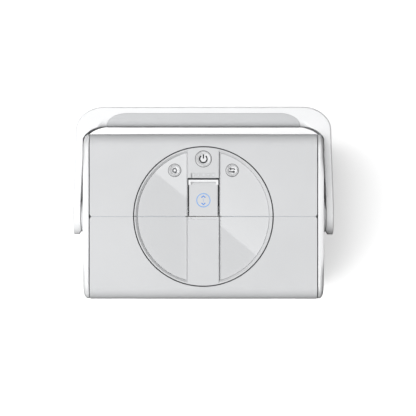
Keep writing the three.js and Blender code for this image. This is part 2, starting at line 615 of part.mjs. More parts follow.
// The crossbar's section in Y and Z, drawn smaller by inset on its inner side, top and bottom
function barSection(inset) {
  const [y0, z] = [BAR_Y[0] + inset, BAR_HALF_Z - inset];
  const r = BAR_INNER_R - inset;
  const shape = new THREE.Shape();
  shape.moveTo(BAR_Y[1] + 1, z);
  shape.lineTo(y0 + r, z);
  shape.absarc(y0 + r, z - r, r, Math.PI / 2, Math.PI);
  shape.absarc(y0 + r, r - z, r, Math.PI, 1.5 * Math.PI);
  shape.lineTo(BAR_Y[1] + 1, -z);
  return shape;
}

// The grip's plan, grown by grow all round
function gripPlan(grow) {
  const [x, y, end] = [GRIP.x + grow, GRIP.y + grow, GRIP.end];
  const shape = new THREE.Shape();
  shape.moveTo(x, BAR_Y[0] - 5);
  shape.lineTo(x, BAR_Y[0]);
  halfEllipse(shape, [x - end, BAR_Y[0]], [end, y - BAR_Y[0]], 0, Math.PI / 2);
  halfEllipse(shape, [end - x, BAR_Y[0]], [end, y - BAR_Y[0]], Math.PI / 2, Math.PI);
  shape.lineTo(-x, BAR_Y[0] - 5);
  return shape;
}

// What lies in the grip's plan and outside the crossbar's section drawn smaller by inset
function gripRoom(inset, grow) {
  return cut(extrudeZ(gripPlan(grow), both(BAR_HALF_Z + 2), 8), extrudeX(barSection(inset), both(HALF_X), 5));
}

function handleGrip() {
  return gripRoom(GRIP.thick, 0).intersect(extrudeX(barSection(0), both(GRIP.x + 1), 5));
}

function handleBail() {
  const strap = extrudeZ(bailOutline(), both(HUB_R + 1), 8).intersect(extrudeX(strapOutline(), both(140), 12));
  const squareEdge = box(both(GRIP.x), [BAR_Y[0] - 1, BAR_Y[0] + BAR_INNER_R], both(BAR_HALF_Z + 1));
  const round = extrudeX(barSection(0), both(GRIP.x + 1), 5);
  let bail = cut(strap, cut(squareEdge, round), gripRoom(GRIP.thick + 0.3, 0.3));
  for (const sx of [-1, 1]) {
    const span = (a, b) => [sx * a, sx * b].sort((p, q) => p - q);
    bail = cut(bail,
      cylinderX(SHAFT_R + FIT, span(ARM_X[0] - 1, ARM_X[1] - 1), [0, 0], 20),
      cylinderX(9.3, span(ARM_X[1] - 1.6, ARM_X[1] + 1), [0, 0], 28));
  }
  return bail;
}

place('handle_bail', handleBail(), 'white', { parent: handle });
place('handle_grip', handleGrip(), 'grip', { parent: handle });
for (const [side, sx] of sides) {
  const x = [sx * (ARM_X[1] - 1.3), sx * ARM_X[1]].sort((a, b) => a - b);
  place(`handle_cap_${side}`, cylinderX(9, x, [0, 0], 28), 'grip', { parent: handle });
}

// ---- Tank, heater and drive ----
function waterTank() {
  const { x, y, r, wall, floor, rim } = TANK;
  const pan = block(x, y, [floor, rim + 1], r, 5);
  const flange = block(RIM.x, RIM.y, [rim, rim + 1], 4, 3);
  const room = block(x - wall, y - wall, [floor + wall, rim + 2], r - wall, 5);
  const probeHole = cylinderZ(3, [floor - 1, floor + 2], [PROBE.x, PROBE.y], 12);
  return cut(join(pan, flange), room, probeHole);
}

function tankGasket() {
  const z = [TANK.rim + 1.3, LEAF_Z - 0.4];
  return cut(block(108, 75.4, z, 8, 4), block(105.2, 72.6, [z[0] - 1, z[1] + 1], 6, 4));
}

function heaterPlate() {
  return extrudeZ(roundedRect([-48, 98], both(58), 8), [TANK.floor - 3.4, TANK.floor - 0.4], 3);
}

function impeller() {
  let wheel = cylinderZ(6, [48, 57], [0, 0], 16);
  wheel = join(wheel, cylinderZ(15, [48, 50.5], [0, 0], 24));
  for (let k = 0; k < 6; k++) {
    const blade = new THREE.BoxGeometry(10.5, 1.4, 7).translate(9.5, 0, 53.5).rotateZ((k * Math.PI) / 3);
    wheel = join(wheel, solid(blade));
  }
  return cut(wheel, cylinderZ(1.9, [40, 60], [0, 0], 12));
}

function impellerGuard() {
  let guard = cut(cylinderZ(20, [46.4, 63], [0, 0], 24), cylinderZ(18.6, [45, 61.6], [0, 0], 24));
  guard = cut(guard, cylinderZ(7, [60, 64], [0, 0], 12));
  for (let k = 0; k < 6; k++) {
    const slot = new THREE.BoxGeometry(44, 6, 9).translate(0, 0, 53.5).rotateZ((k * Math.PI) / 6);
    guard = cut(guard, solid(slot));
  }
  return guard;
}

function powerBoard() {
  return join(box([14, 96], [-56, 24], [12, 13.6]), box([22, 50], [-48, -20], [13.5, 34]),
    box([62, 88], [-46, -30], [13.5, 28]), cylinderZ(6, [13.5, 32], [74, -12], 14),
    cylinderZ(3, [FOOT_H + 3.3, 12.5], [20, 18], 10), cylinderZ(3, [FOOT_H + 3.3, 12.5], [90, 18], 10),
    cylinderZ(3, [FOOT_H + 3.3, 12.5], [20, -50], 10), cylinderZ(3, [FOOT_H + 3.3, 12.5], [90, -50], 10));
}

place('water_tank', waterTank(), 'steel');
place('tank_gasket', tankGasket(), 'silicone');
place('heater_plate', heaterPlate(), 'magnet');
place('power_board', powerBoard(), 'board');
place('temperature_probe', latheZ([[0, 36], [2.2, 36], [2.2, 70], [1.2, 71.5], [0, 72]], 12), 'steel',
  { at: [PROBE.x, PROBE.y, 0] });
place('probe_grommet', latheZ([
  [2.5, 43], [4.8, 43], [4.8, 44.7], [2.7, 44.7], [2.7, 46.3], [4.8, 46.3], [4.8, 48], [2.5, 48], [2.5, 43],
], 16), 'silicone', { at: [PROBE.x, PROBE.y, 0] });
const drive = [DRIVE_X, 0, 0];
place('motor_housing', cut(cylinderZ(17, [FOOT_H + 3.3, 33], [0, 0], 24), cylinderZ(2.5, [27, 40], [0, 0], 12)),
  'steel', { at: drive });
place('motor_shaft', cylinderZ(2, [28, 40.8], [0, 0], 12), 'steel', { at: drive });
place('drive_magnet', cut(cylinderZ(14, [35, 43], [0, 0], 24), cylinderZ(2.4, [30, 41.2], [0, 0], 12)), 'magnet',
  { at: drive });
place('impeller_spindle', cylinderZ(1.5, [46.3, 59.5], [0, 0], 12), 'steel', { at: drive });
place('impeller', impeller(), 'white', { at: drive });
place('impeller_guard', impellerGuard(), 'steel', { at: drive });

cooker.position.y = -Y_MIDDLE;
cooker.updateMatrixWorld(true);

export default cooker;
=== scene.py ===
import json
import math

import bmesh
import bpy
from mathutils import Matrix, Vector

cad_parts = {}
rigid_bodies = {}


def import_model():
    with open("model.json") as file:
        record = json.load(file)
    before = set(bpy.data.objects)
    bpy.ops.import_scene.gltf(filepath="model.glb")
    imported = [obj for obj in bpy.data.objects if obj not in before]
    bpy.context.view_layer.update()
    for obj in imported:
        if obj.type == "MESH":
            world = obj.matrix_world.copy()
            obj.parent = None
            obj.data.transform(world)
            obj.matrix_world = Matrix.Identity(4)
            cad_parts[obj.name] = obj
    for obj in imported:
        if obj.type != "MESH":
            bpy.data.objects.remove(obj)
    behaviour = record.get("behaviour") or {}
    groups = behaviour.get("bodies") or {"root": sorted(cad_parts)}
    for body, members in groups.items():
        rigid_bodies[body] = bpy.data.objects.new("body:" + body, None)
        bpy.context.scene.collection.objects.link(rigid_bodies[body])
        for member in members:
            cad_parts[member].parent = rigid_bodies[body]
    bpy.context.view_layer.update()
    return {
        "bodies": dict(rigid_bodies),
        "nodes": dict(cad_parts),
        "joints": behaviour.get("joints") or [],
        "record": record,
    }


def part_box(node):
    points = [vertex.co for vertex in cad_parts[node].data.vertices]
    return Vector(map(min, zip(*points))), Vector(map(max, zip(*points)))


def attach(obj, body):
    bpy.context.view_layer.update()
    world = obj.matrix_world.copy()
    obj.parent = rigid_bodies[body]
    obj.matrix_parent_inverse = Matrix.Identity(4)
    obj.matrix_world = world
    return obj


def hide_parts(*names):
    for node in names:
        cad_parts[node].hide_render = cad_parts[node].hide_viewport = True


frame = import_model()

# Pieces are drawn in millimetres about the box's own middle, with +Z up, and are put into the frame, in
# metres, by place(). What the frame holds is read from it; the rest are the details that it leaves plain.
MM = 0.001


def span(node, axis):
    """Lowest and highest value of a CAD node along an axis, in millimetres."""
    low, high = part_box(node)
    return low[axis] / MM, high[axis] / MM


MIDDLE_Y = sum(span("side_plate_left", 1)) / 2
HALF_X = span("tub_shell", 0)[1]
HALF_Y = span("side_plate_left", 1)[1] - MIDDLE_Y
FLOOR_GAP = span("tub_shell", 2)[0]
TOP_Z = span("rear_leaf_shell", 2)[1]
LEAF_Z = span("rear_liner", 2)[0]
HINGE_Y = sum(span("hinge_pin_rear_left", 1)) / 2 - MIDDLE_Y
HINGE_Z = sum(span("hinge_pin_rear_left", 2)) / 2
PIVOT_Z = sum(span("handle_cap_left", 2)) / 2
PANE_TOP = span("rear_pane_left", 2)[1]
PANE_Z = span("rear_pane_left", 2)[0]
INLAY_Z = span("front_inlay", 2)[0]
PLATE_X = span("side_plate_right", 0)
ARM_OUT = span("handle_bail", 0)[1]
BAR_OUT = span("handle_bail", 1)[1] - MIDDLE_Y
BAR_IN = span("handle_grip", 1)[0] - MIDDLE_Y
BAR_HALF_Z = (span("handle_grip", 2)[1] - span("handle_grip", 2)[0]) / 2
GRIP_X = span("handle_grip", 0)[1]
GRIP_Y = span("handle_grip", 1)[1] - MIDDLE_Y
HUB_R = (span("handle_bail", 2)[1] - span("handle_bail", 2)[0]) / 2
BOSS_X = span("pivot_boss_right", 0)
BOSS_R = (span("pivot_boss_right", 2)[1] - span("pivot_boss_right", 2)[0]) / 2
POWER_Y = sum(span("power_button", 1)) / 2 - MIDDLE_Y
KEY_X = sum(span("right_button", 0)) / 2
KEY_Y = sum(span("right_button", 1)) / 2 - MIDDLE_Y
POWER_RIM_Z = span("power_button", 2)[1]
KEY_RIM_Z = span("right_button", 2)[1]
POWER_BEZEL_R = (span("power_bezel", 0)[1] - span("power_bezel", 0)[0]) / 2
KEY_BEZEL_R = (span("right_bezel", 0)[1] - span("right_bezel", 0)[0]) / 2
LATCH_Y = (span("latch_lever", 1)[0] - MIDDLE_Y - 0.3, span("latch_lever", 1)[1] - MIDDLE_Y)
AXLE_Y = sum(span("latch_axle", 1)) / 2 - MIDDLE_Y
AXLE_Z = sum(span("latch_axle", 2)) / 2
LIGHT_Y = sum(span("light_bar", 1)) / 2 - MIDDLE_Y

EDGE_R = 12.5
BOTTOM_R = 14
WALL = 2.5
SKIN = 2.4
FIT = 0.4
SEAM = 0.25
SEAM_CORNER_R = 2.5
BARREL_R = 3
PIN_HOLE_R = 1.6
KNUCKLE_X = (68, 92)
PIN_X = (60, 100)
RING_R = 70.4
INLAY_R = 69.2
FLANGE_R = 73
POCKET_TOP_R = 68
POCKET_R = 66
POCKET_Z = 146.3
STRIP_TOP_X = 15.3
STRIP_X = 16.4
BEZEL_W = 0.7
STEM_R = 3
STEM_END_Z = 144.3
CAP_T = 2
KEY_GAP = 0.5
KEY_DISH = 1.25
LATCH_X = 14.2
LATCH_HEAD_X = 15
LATCH_HEAD_Y = 31.5
LATCH_TOP_Z = TOP_Z - 0.07
LATCH_T = 2.8
WELL_X = 15.9
WELL_Y = 38.6
WELL_Z = 145.4
FOOT_WELL_Y = 9.5
FOOT_WELL_Z = 142
SCOOP_X = 12.4
SCOOP_Y = (38.6, 44.5)
SCOOP_DEPTH = 1.8
LIGHT_PITCH = 5
LIGHT_R = 1.2
LIGHT_GAP = 0.2
MARK_Y = 16.2
WELL_FRAME = 1.8
WELL_FLOOR_T = 1.5
LATCH_FLANK_Z = 148.6
POWER_SEAT_DEPTH = 1.2
POWER_HOLE_DEPTH = 3.5
KEY_HOLE_Z = 145.6
MAGNET_POCKET_X = 11.4
MAGNET_POCKET_Y = (1.5, 4.9)
MAGNET_POCKET_TOP_Z = 147.7
SEAM_RECESS_X = 12.5
SEAM_RECESS_Y = 2.9
SEAM_RECESS_DEPTH = 0.4
LINER_T = 1.8
LINER_X = 109
LINER_RECESS_X = 98
LINER_RECESS_Y = (8, 68)
SPINDLE_R = 5.4
LEDGE_Z = (127, 130)
SOCKET = (15.4, 12.4)
SHARP_ANGLE = 40

# The tools that cut a shape reach past it: by OVER, or to INLAY_REACH and INLAY_LOW_Z, which clear the inlay.
OVER = 9
INLAY_REACH = 80
INLAY_LOW_Z = 130


# ---- Camera: straight above, with the rear edge at the top of the frame ----
CAMERA_HEIGHT = 1.5
FIELD = 0.416
SENSOR = 36
camera_data = bpy.data.cameras.new("camera")
camera_data.sensor_width = SENSOR
camera_data.lens = SENSOR * CAMERA_HEIGHT / FIELD
camera = bpy.data.objects.new("camera", camera_data)
camera.location = (4.6 * MM, (MIDDLE_Y + 8.5) * MM, TOP_Z * MM + CAMERA_HEIGHT)
bpy.context.scene.collection.objects.link(camera)
bpy.context.scene.camera = camera


# ---- Mesh helpers ----
def link(name, mesh):
    made = bpy.data.objects.new(name, mesh)
    bpy.context.scene.collection.objects.link(made)
    return made


def from_faces(name, points, faces):
    mesh = bpy.data.meshes.new(name)
    mesh.from_pydata([tuple(p) for p in points], [], faces)
    work = bmesh.new()
    work.from_mesh(mesh)
    bmesh.ops.remove_doubles(work, verts=work.verts, dist=1e-4)
    bmesh.ops.recalc_face_normals(work, faces=work.faces)
    work.to_mesh(mesh)
    work.free()
    return link(name, mesh)


def loft(name, rings, closed=False):
    """Skins rings of equal length; the ends are capped unless the rings close on themselves."""
    count = len(rings[0])
    points = [p for ring in rings for p in ring]
    faces = []
    steps = len(rings) if closed else len(rings) - 1
    for i in range(steps):
        a, b = i * count, ((i + 1) % len(rings)) * count
        for k in range(count):
            n = (k + 1) % count
            faces.append((a + k, a + n, b + n, b + k))
    if not closed:
        faces.append(tuple(range(count))[::-1])
        faces.append(tuple(range(len(points) - count, len(points))))
    return from_faces(name, points, faces)


def along(axis, u, v, w):
    """The point whose outline coordinates are u, v and whose place along the extrusion's axis is w."""
    return {"X": (w, u, v), "Y": (u, w, v), "Z": (u, v, w)}[axis]


def prism(outline, axis, low, high, name="tool"):
    return loft(name, [[along(axis, u, v, w) for u, v in outline] for w in (low, high)])


def block(x, y, z):
    return prism([(x[0], y[0]), (x[1], y[0]), (x[1], y[1]), (x[0], y[1])], "Z", *z)


def arc(centre, radii, start, end, steps=16):
    """Points on an ellipse's arc, in degrees, both ends included."""
    ru, rv = radii if isinstance(radii, tuple) else (radii, radii)
    angles = [math.radians(start + (end - start) * k / steps) for k in range(steps + 1)]
    return [(centre[0] + ru * math.cos(t), centre[1] + rv * math.sin(t)) for t in angles]


def rounded(u, v, r, steps=12):
    (u0, u1), (v0, v1) = u, v
    return (arc((u1 - r, v0 + r), r, -90, 0, steps) + arc((u1 - r, v1 - r), r, 0, 90, steps)
            + arc((u0 + r, v1 - r), r, 90, 180, steps) + arc((u0 + r, v0 + r), r, 180, 270, steps))


def both(half):
    return (-half, half)


def circle(r, at=(0, 0), sides=96):
    angles = [2 * math.pi * k / sides for k in range(sides)]
    return [(at[0] + r * math.cos(t), at[1] + r * math.sin(t)) for t in angles]


def disc(r, z, at=(0, 0), sides=96):
    return prism(circle(r, at, sides), "Z", *z)


def rod(r, x, at, sides=48):
    return prism(circle(r, at, sides), "X", *x)


def turned(name, profile, at=(0, 0, 0), sides=96):
    """A solid of revolution about Z. The profile's points are (radius, height), from axis to axis."""
    points, faces = [], []
    for r, z in profile:
        for k in range(sides):
            t = 2 * math.pi * k / sides
            points.append((at[0] + r * math.cos(t), at[1] + r * math.sin(t), at[2] + z))
    for i in range(len(profile) - 1):
        for k in range(sides):
            n = (k + 1) % sides
            faces.append((i * sides + k, i * sides + n, (i + 1) * sides + n, (i + 1) * sides + k))
    return from_faces(name, points, faces)


def apply_modifiers(made):
    graph = bpy.context.evaluated_depsgraph_get()
    mesh = bpy.data.meshes.new_from_object(made.evaluated_get(graph))
    made.modifiers.clear()
    old = made.data
    made.data = mesh
    bpy.data.meshes.remove(old)
    return made


def combine(operation, target, tools):
    for tool in tools:
        modifier = target.modifiers.new("combine", "BOOLEAN")
        modifier.operation = operation
        modifier.solver = "EXACT"
        modifier.object = tool
        apply_modifiers(target)
        mesh = tool.data
        bpy.data.objects.remove(tool)
        bpy.data.meshes.remove(mesh)
    return target


def cut(target, *tools):
    return combine("DIFFERENCE", target, tools)


def join(target, *tools):
    return combine("UNION", target, tools)


def common(target, *tools):
    return combine("INTERSECT", target, tools)


def soften(made, width, segments=3, angle=30):
    """Rounds the edges sharper than the angle."""
    work = bmesh.new()
    work.from_mesh(made.data)
    bmesh.ops.remove_doubles(work, verts=work.verts, dist=2e-3)
    bmesh.ops.dissolve_limit(work, angle_limit=math.radians(0.5), verts=work.verts, edges=work.edges)
    work.to_mesh(made.data)
    work.free()
    modifier = made.modifiers.new("soften", "BEVEL")
    modifier.width = width
    modifier.segments = segments
    modifier.limit_method = "ANGLE"
    modifier.angle_limit = math.radians(angle)
    modifier.use_clamp_overlap = True
    return apply_modifiers(made)


def mirrored(made):
    """Mirrors a drawn piece across X, in place."""
    made.data.transform(Matrix.Scale(-1, 4, (1, 0, 0)))
    made.data.flip_normals()
    return made


def half_turn(made):
    """Turns a piece drawn for the rear leaf half a circle, for the front leaf."""
    made.data.transform(Matrix.Rotation(math.pi, 4, "Z"))
    return made


def place(made, name, body, slot, material, *nodes):
    """Puts a drawn piece into the frame, in metres, with its body, its finish and the nodes it replaces."""
    made.name = name
    made.data.name = name
    made.data.transform(Matrix.Translation((0, MIDDLE_Y * MM, 0)) @ Matrix.Scale(MM, 4))
    for face in made.data.polygons:
        face.use_smooth = True
    made.data.set_sharp_from_angle(angle=math.radians(SHARP_ANGLE))
    normals = made.modifiers.new("normals", "WEIGHTED_NORMAL")
    normals.keep_sharp = True
    normals.weight = 80
    made.data.materials.clear()
    made.data.materials.append(material)
    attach(made, body)
    if nodes:
        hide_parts(*nodes)
    return made


# ---- Materials ----
class Nodes:
    """A material's node tree, with short ways to add to it."""

    def __init__(self, name):
        self.material = bpy.data.materials.new(name)
        self.material.use_nodes = True
        self.tree = self.material.node_tree
        self.shader = self.tree.nodes["Principled BSDF"]
        self.coordinates = self.tree.nodes.new("ShaderNodeTexCoord").outputs["Object"]

    def add(self, kind, **inputs):
        node = self.tree.nodes.new(kind)
        for key, value in inputs.items():
            node.inputs[key.replace("_", " ")].default_value = value
        return node

    def wire(self, output, target):
        self.tree.links.new(output, target)

    def noise(self, scale, detail=2.0, stretch=(1, 1, 1)):
        mapping = self.add("ShaderNodeMapping")
        mapping.inputs["Scale"].default_value = stretch
        self.wire(self.coordinates, mapping.inputs["Vector"])
        texture = self.add("ShaderNodeTexNoise", Scale=scale, Detail=detail)
        self.wire(mapping.outputs["Vector"], texture.inputs["Vector"])
        return texture.outputs["Fac"]

    def ramp(self, factor, low, high, bottom, top):
        """Maps factor from low..high to bottom..top."""
        node = self.add("ShaderNodeMapRange", From_Min=low, From_Max=high, To_Min=bottom, To_Max=top)
        self.wire(factor, node.inputs["Value"])
        return node.outputs["Result"]

    def tint(self, factor, dark, light):
        # A Mix node's colour sockets share their names with others, so they are taken by number.
        node = self.tree.nodes.new("ShaderNodeMix")
        node.data_type = "RGBA"
        node.inputs[6].default_value = (*dark, 1)
        node.inputs[7].default_value = (*light, 1)
        self.wire(factor, node.inputs[0])
        self.wire(node.outputs[2], self.shader.inputs["Base Color"])

    def bump(self, height, strength, distance):
        node = self.add("ShaderNodeBump", Strength=strength, Distance=distance)
        self.wire(height, node.inputs["Height"])
        self.wire(node.outputs["Normal"], self.shader.inputs["Normal"])


def plastic(name, color, roughness, grain_scale=2600, grain=0.00003, spread=0.03, spot=0.02, specular=0.5):
    """Moulded plastic: a fine spark-eroded grain, uneven sheen, and a faint drift of tone."""
    nodes = Nodes(name)
    cloud = nodes.noise(18, 3)
    light = tuple(min(1, c * (1 + spot)) for c in color)
    dark = tuple(c * (1 - spot) for c in color)
    nodes.tint(nodes.ramp(cloud, 0.3, 0.7, 0, 1), dark, light)
    sheen = nodes.ramp(nodes.noise(140, 4), 0.3, 0.7, roughness - spread, roughness + spread)
    nodes.wire(sheen, nodes.shader.inputs["Roughness"])
    nodes.shader.inputs["Specular IOR Level"].default_value = specular
    nodes.bump(nodes.noise(grain_scale, 2), 0.5, grain)
    return nodes.material


def metal(name, color, roughness, stretch=(1, 1, 1), metallic=1.0):
    """Drawn or turned metal: fine brush lines, drawn out along an axis by the stretch."""
    nodes = Nodes(name)
    lines = nodes.noise(900, 4, stretch)
    nodes.tint(lines, tuple(c * 0.95 for c in color), color)
    sheen = nodes.ramp(lines, 0.3, 0.7, roughness - 0.02, roughness + 0.03)
    nodes.wire(sheen, nodes.shader.inputs["Roughness"])
    nodes.shader.inputs["Metallic"].default_value = metallic
    nodes.bump(lines, 0.15, 0.00002)
    return nodes.material


def circuit(name):
    """Solder mask with the faint relief of tracks under it."""
    nodes = Nodes(name)
    tracks = nodes.noise(420, 1, (1, 0.15, 1))
    nodes.tint(nodes.ramp(tracks, 0.45, 0.55, 0, 1), (0.02, 0.10, 0.05), (0.04, 0.16, 0.08))
    nodes.wire(nodes.ramp(tracks, 0.4, 0.6, 0.25, 0.4), nodes.shader.inputs["Roughness"])
    nodes.bump(tracks, 0.4, 0.00004)
    return nodes.material


shell_grey = plastic("shell_grey", (0.605, 0.611, 0.620), 0.60, specular=0.22)
pane_gloss = plastic("pane_gloss", (0.600, 0.606, 0.615), 0.012, grain=0.0000001, spread=0.008, spot=0.01)
plate_white = plastic("plate_white", (0.81, 0.815, 0.822), 0.42, grain=0.00001, specular=0.35)
grip_soft = plastic("grip_soft", (0.55, 0.556, 0.566), 0.72, 3400, 0.00005, specular=0.3)
cap_silver = plastic("button_silver", (0.68, 0.685, 0.695), 0.22, grain=0.000005, specular=1.0)
liner_white = plastic("liner_white", (0.80, 0.80, 0.80), 0.42)
dark_plastic = plastic("dark_plastic", (0.035, 0.036, 0.04), 0.55, grain=0.00006)
foot_rubber = plastic("foot_rubber", (0.02, 0.02, 0.022), 0.8, grain=0.00008)
silicone = plastic("gasket_silicone", (0.50, 0.53, 0.56), 0.6, grain=0.00003)
light_clear = plastic("light_clear", (0.69, 0.70, 0.715), 0.25, grain=0.000004, specular=0.4)
ink_dark = plastic("ink_dark", (0.012, 0.013, 0.015), 0.5, grain=0.000004, specular=0.1)
ink_grey = plastic("ink_grey", (0.13, 0.134, 0.142), 0.5, grain=0.000004, specular=0.1)
ink_blue = plastic("ink_blue", (0.05, 0.24, 0.70), 0.5, grain=0.000004, specular=0.1)
ink_pale_blue = plastic("ink_pale_blue", (0.18, 0.38, 0.74), 0.5, grain=0.000004, specular=0.1)
stainless = metal("stainless", (0.62, 0.63, 0.645), 0.28, (1, 0.04, 0.04))
turned_steel = metal("steel", (0.55, 0.56, 0.57), 0.3, (0.08, 1, 1))
coated = metal("magnet_dark", (0.10, 0.105, 0.115), 0.45, metallic=0.6)
solder_mask = circuit("circuit_green")


# ---- Lid leaves ----
def leaf_shell(has_well):
    """A hollow leaf with its round edge, hinge barrels and the inlay's half hole, drawn for the rear."""
    edge = (HALF_Y - EDGE_R, TOP_Z - EDGE_R)
    flank = [(SEAM, LEAF_Z), (HALF_Y, LEAF_Z)] + arc(edge, EDGE_R, 0, 90, 24) + [(SEAM, TOP_Z)]
    room = ([(SEAM + SKIN, LEAF_Z - 1), (HALF_Y - SKIN, LEAF_Z - 1)]
            + arc(edge, EDGE_R - SKIN, 0, 90, 16) + [(SEAM + SKIN, TOP_Z - SKIN)])
    leaf = prism(flank, "X", *both(HALF_X))
    plan = rounded(both(HALF_X), (SEAM, HALF_Y + 20), SEAM_CORNER_R)
    leaf = common(leaf, prism(plan, "Z", LEAF_Z - OVER, TOP_Z + OVER))
    leaf = cut(leaf, prism(room, "X", *both(HALF_X - SKIN)))
    leaf = join(leaf, rod(BARREL_R, both(HALF_X - FIT), (HINGE_Y, HINGE_Z)))
    for side in (-1, 1):
        gap = sorted(side * x for x in KNUCKLE_X)
        leaf = cut(leaf, block(gap, (HINGE_Y - BARREL_R - 1, HALF_Y + 1), (HINGE_Z - 5, HINGE_Z + 4.2)))
        pin = sorted((side * (PIN_X[0] - 1), side * (PIN_X[1] + 1)))
        leaf = cut(leaf, rod(PIN_HOLE_R, pin, (HINGE_Y, HINGE_Z), 24))
    if has_well:
        notch = both(WELL_X + WELL_FRAME + FIT)
        leaf = cut(leaf, block(notch, (-1, SEAM + SKIN + 1), (FOOT_WELL_Z - WELL_FLOOR_T - FIT, TOP_Z)))
    leaf = soften(leaf, 0.35)
    leaf = cut(leaf, disc(RING_R, (INLAY_Z - FIT, TOP_Z + 1), sides=192))
    return leaf


# ---- Round inlay, drawn for the rear ----
def rear_part(start_y, top_z):
    """The space behind start_y, up to top_z, that holds a leaf's half of the inlay."""
    return block(both(INLAY_REACH), (start_y, INLAY_REACH), (INLAY_LOW_Z, top_z))


def inlay_blank():
    blank = disc(INLAY_R, (INLAY_Z, TOP_Z), sides=192)
    blank = common(blank, rear_part(SEAM, TOP_Z + OVER))
    flange = disc(FLANGE_R, (INLAY_Z, TOP_Z - SKIN - 2 * FIT), sides=144)
    flange = common(flange, rear_part(SEAM + SKIN + FIT, TOP_Z + OVER))
    blank = join(blank, flange)
    for side in (-1, 1):
        outline = [(0, POCKET_Z), (POCKET_R, POCKET_Z), (POCKET_R, PANE_TOP), (POCKET_TOP_R, TOP_Z),
                   (POCKET_TOP_R, TOP_Z + 1), (0, TOP_Z + 1)]
        pocket = turned("tool", outline, sides=192)
        lane = [(side * STRIP_X, POCKET_Z - 1), (side * STRIP_X, PANE_TOP), (side * STRIP_TOP_X, TOP_Z),
                (side * STRIP_TOP_X, TOP_Z + 2), (side * INLAY_REACH, TOP_Z + 2),
                (side * INLAY_REACH, POCKET_Z - 1)]
        blank = cut(blank, common(pocket, prism(lane, "Y", -5, INLAY_REACH)))
    return blank


def rear_inlay():
    foot_box = block(both(WELL_X + WELL_FRAME), (SEAM, FOOT_WELL_Y + WELL_FLOOR_T),
                     (FOOT_WELL_Z - WELL_FLOOR_T, INLAY_Z + 1))
    inlay = join(inlay_blank(), foot_box)
    ramp = [(SCOOP_Y[1], TOP_Z), (SCOOP_Y[1], TOP_Z + 1), (SCOOP_Y[0] - 1, TOP_Z + 1),
            (SCOOP_Y[0] - 1, TOP_Z - SCOOP_DEPTH), (SCOOP_Y[0], TOP_Z - SCOOP_DEPTH)]
    inlay = cut(
        inlay,
        block(both(WELL_X), (SEAM - 1, WELL_Y), (WELL_Z, TOP_Z + 1)),
        block(both(WELL_X), (SEAM - 1, FOOT_WELL_Y), (FOOT_WELL_Z, TOP_Z + 1)),
        block(both(STRIP_X + 0.6), (SEAM - 1, WELL_Y), (LATCH_FLANK_Z, TOP_Z + 1)),
        prism(ramp, "X", *both(SCOOP_X)),
        block((-SCOOP_X, 0.7 - SCOOP_X), (SCOOP_Y[0] - 1, SCOOP_Y[1] - 1),
              (TOP_Z - SCOOP_DEPTH - 1.4, TOP_Z)),
        disc(POWER_BEZEL_R + 0.2, (TOP_Z - POWER_SEAT_DEPTH, TOP_Z + 1), (0, POWER_Y)),
        disc(POWER_BEZEL_R - 0.3, (TOP_Z - POWER_HOLE_DEPTH, TOP_Z + 1), (0, POWER_Y)),
        disc(STEM_R + FIT, (INLAY_Z - 1, TOP_Z), (0, POWER_Y), 48),
    )
    for side in (-1, 1):
        at = (side * KEY_X, KEY_Y)
        inlay = cut(inlay, disc(KEY_BEZEL_R - 0.2, (KEY_HOLE_Z, TOP_Z), at),
                    disc(STEM_R + FIT, (INLAY_Z - 1, TOP_Z), at, 48))
    inlay = soften(inlay, 0.2)
    for k in range(-2, 3):
        inlay = cut(inlay, disc(LIGHT_R + LIGHT_GAP, (INLAY_Z - 1, TOP_Z), (k * LIGHT_PITCH, LIGHT_Y), 32))
    return inlay


def front_inlay():
    """The magnet's pocket opens below, and a shallow recess lies at the seam."""
    inlay = cut(
        inlay_blank(),
        block(both(MAGNET_POCKET_X), MAGNET_POCKET_Y, (INLAY_Z - 1, MAGNET_POCKET_TOP_Z)),
        block(both(SEAM_RECESS_X), (SEAM - 1, SEAM_RECESS_Y), (TOP_Z - SEAM_RECESS_DEPTH, TOP_Z + 1)),
    )
    return soften(inlay, 0.2)


def pane(has_key):
    """The pane right of the strip in the rear leaf."""
    r, x, y = POCKET_R - 0.25, STRIP_X + 0.25, SEAM + 0.1
    start = math.degrees(math.asin(y / r))
    end = math.degrees(math.acos(x / r))
    plate = prism([(x, y)] + arc((0, 0), r, start, end, 72), "Z", PANE_Z, PANE_TOP)
    if has_key:
        plate = cut(plate, disc(KEY_BEZEL_R, (PANE_Z - 1, PANE_TOP + 1), (KEY_X, KEY_Y)))
    return soften(plate, 0.18)


def liner():
    plan = rounded(both(LINER_X), (SEAM + SKIN + FIT, HINGE_Y - BARREL_R - 0.8), 4)
    recess = rounded(both(LINER_RECESS_X), LINER_RECESS_Y, 10)
    tray = prism(plan, "Z", LEAF_Z, LEAF_Z + LINER_T)
    return soften(cut(tray, prism(recess, "Z", LEAF_Z - 1, LEAF_Z + 0.6)), 0.3)


def groove_shade_ring():
    """A dark ring at the bottom of the groove round the inlay: painted shade, standing in for the shadow down
    in the groove.
    """
    low = TOP_Z - SKIN - 2 * FIT
    ring = disc(RING_R - 0.02, (low, low + 1.2), sides=192)
    ring = cut(ring, disc(INLAY_R + 0.02, (low - 1, low + 2), sides=192))
    return common(ring, rear_part(SEAM + 0.05, TOP_Z))


def seam_seal():
    """A soft strip down the rear leaf's edge that closes the gap between the leaves."""
    strips = []
    for side in (-1, 1):
        outside = sorted((side * (RING_R + 0.1), side * (HALF_X - 1.2)))
        inside = sorted((side * (WELL_X + 2.4), side * (INLAY_R - 0.3)))
        strips.append(block(outside, (0.03 - SEAM, SEAM), (LEAF_Z + 1, TOP_Z - 0.7)))
        strips.append(block(inside, (0.03 - SEAM, SEAM), (INLAY_Z + 0.5, PANE_TOP - 0.4)))
    return join(*strips)


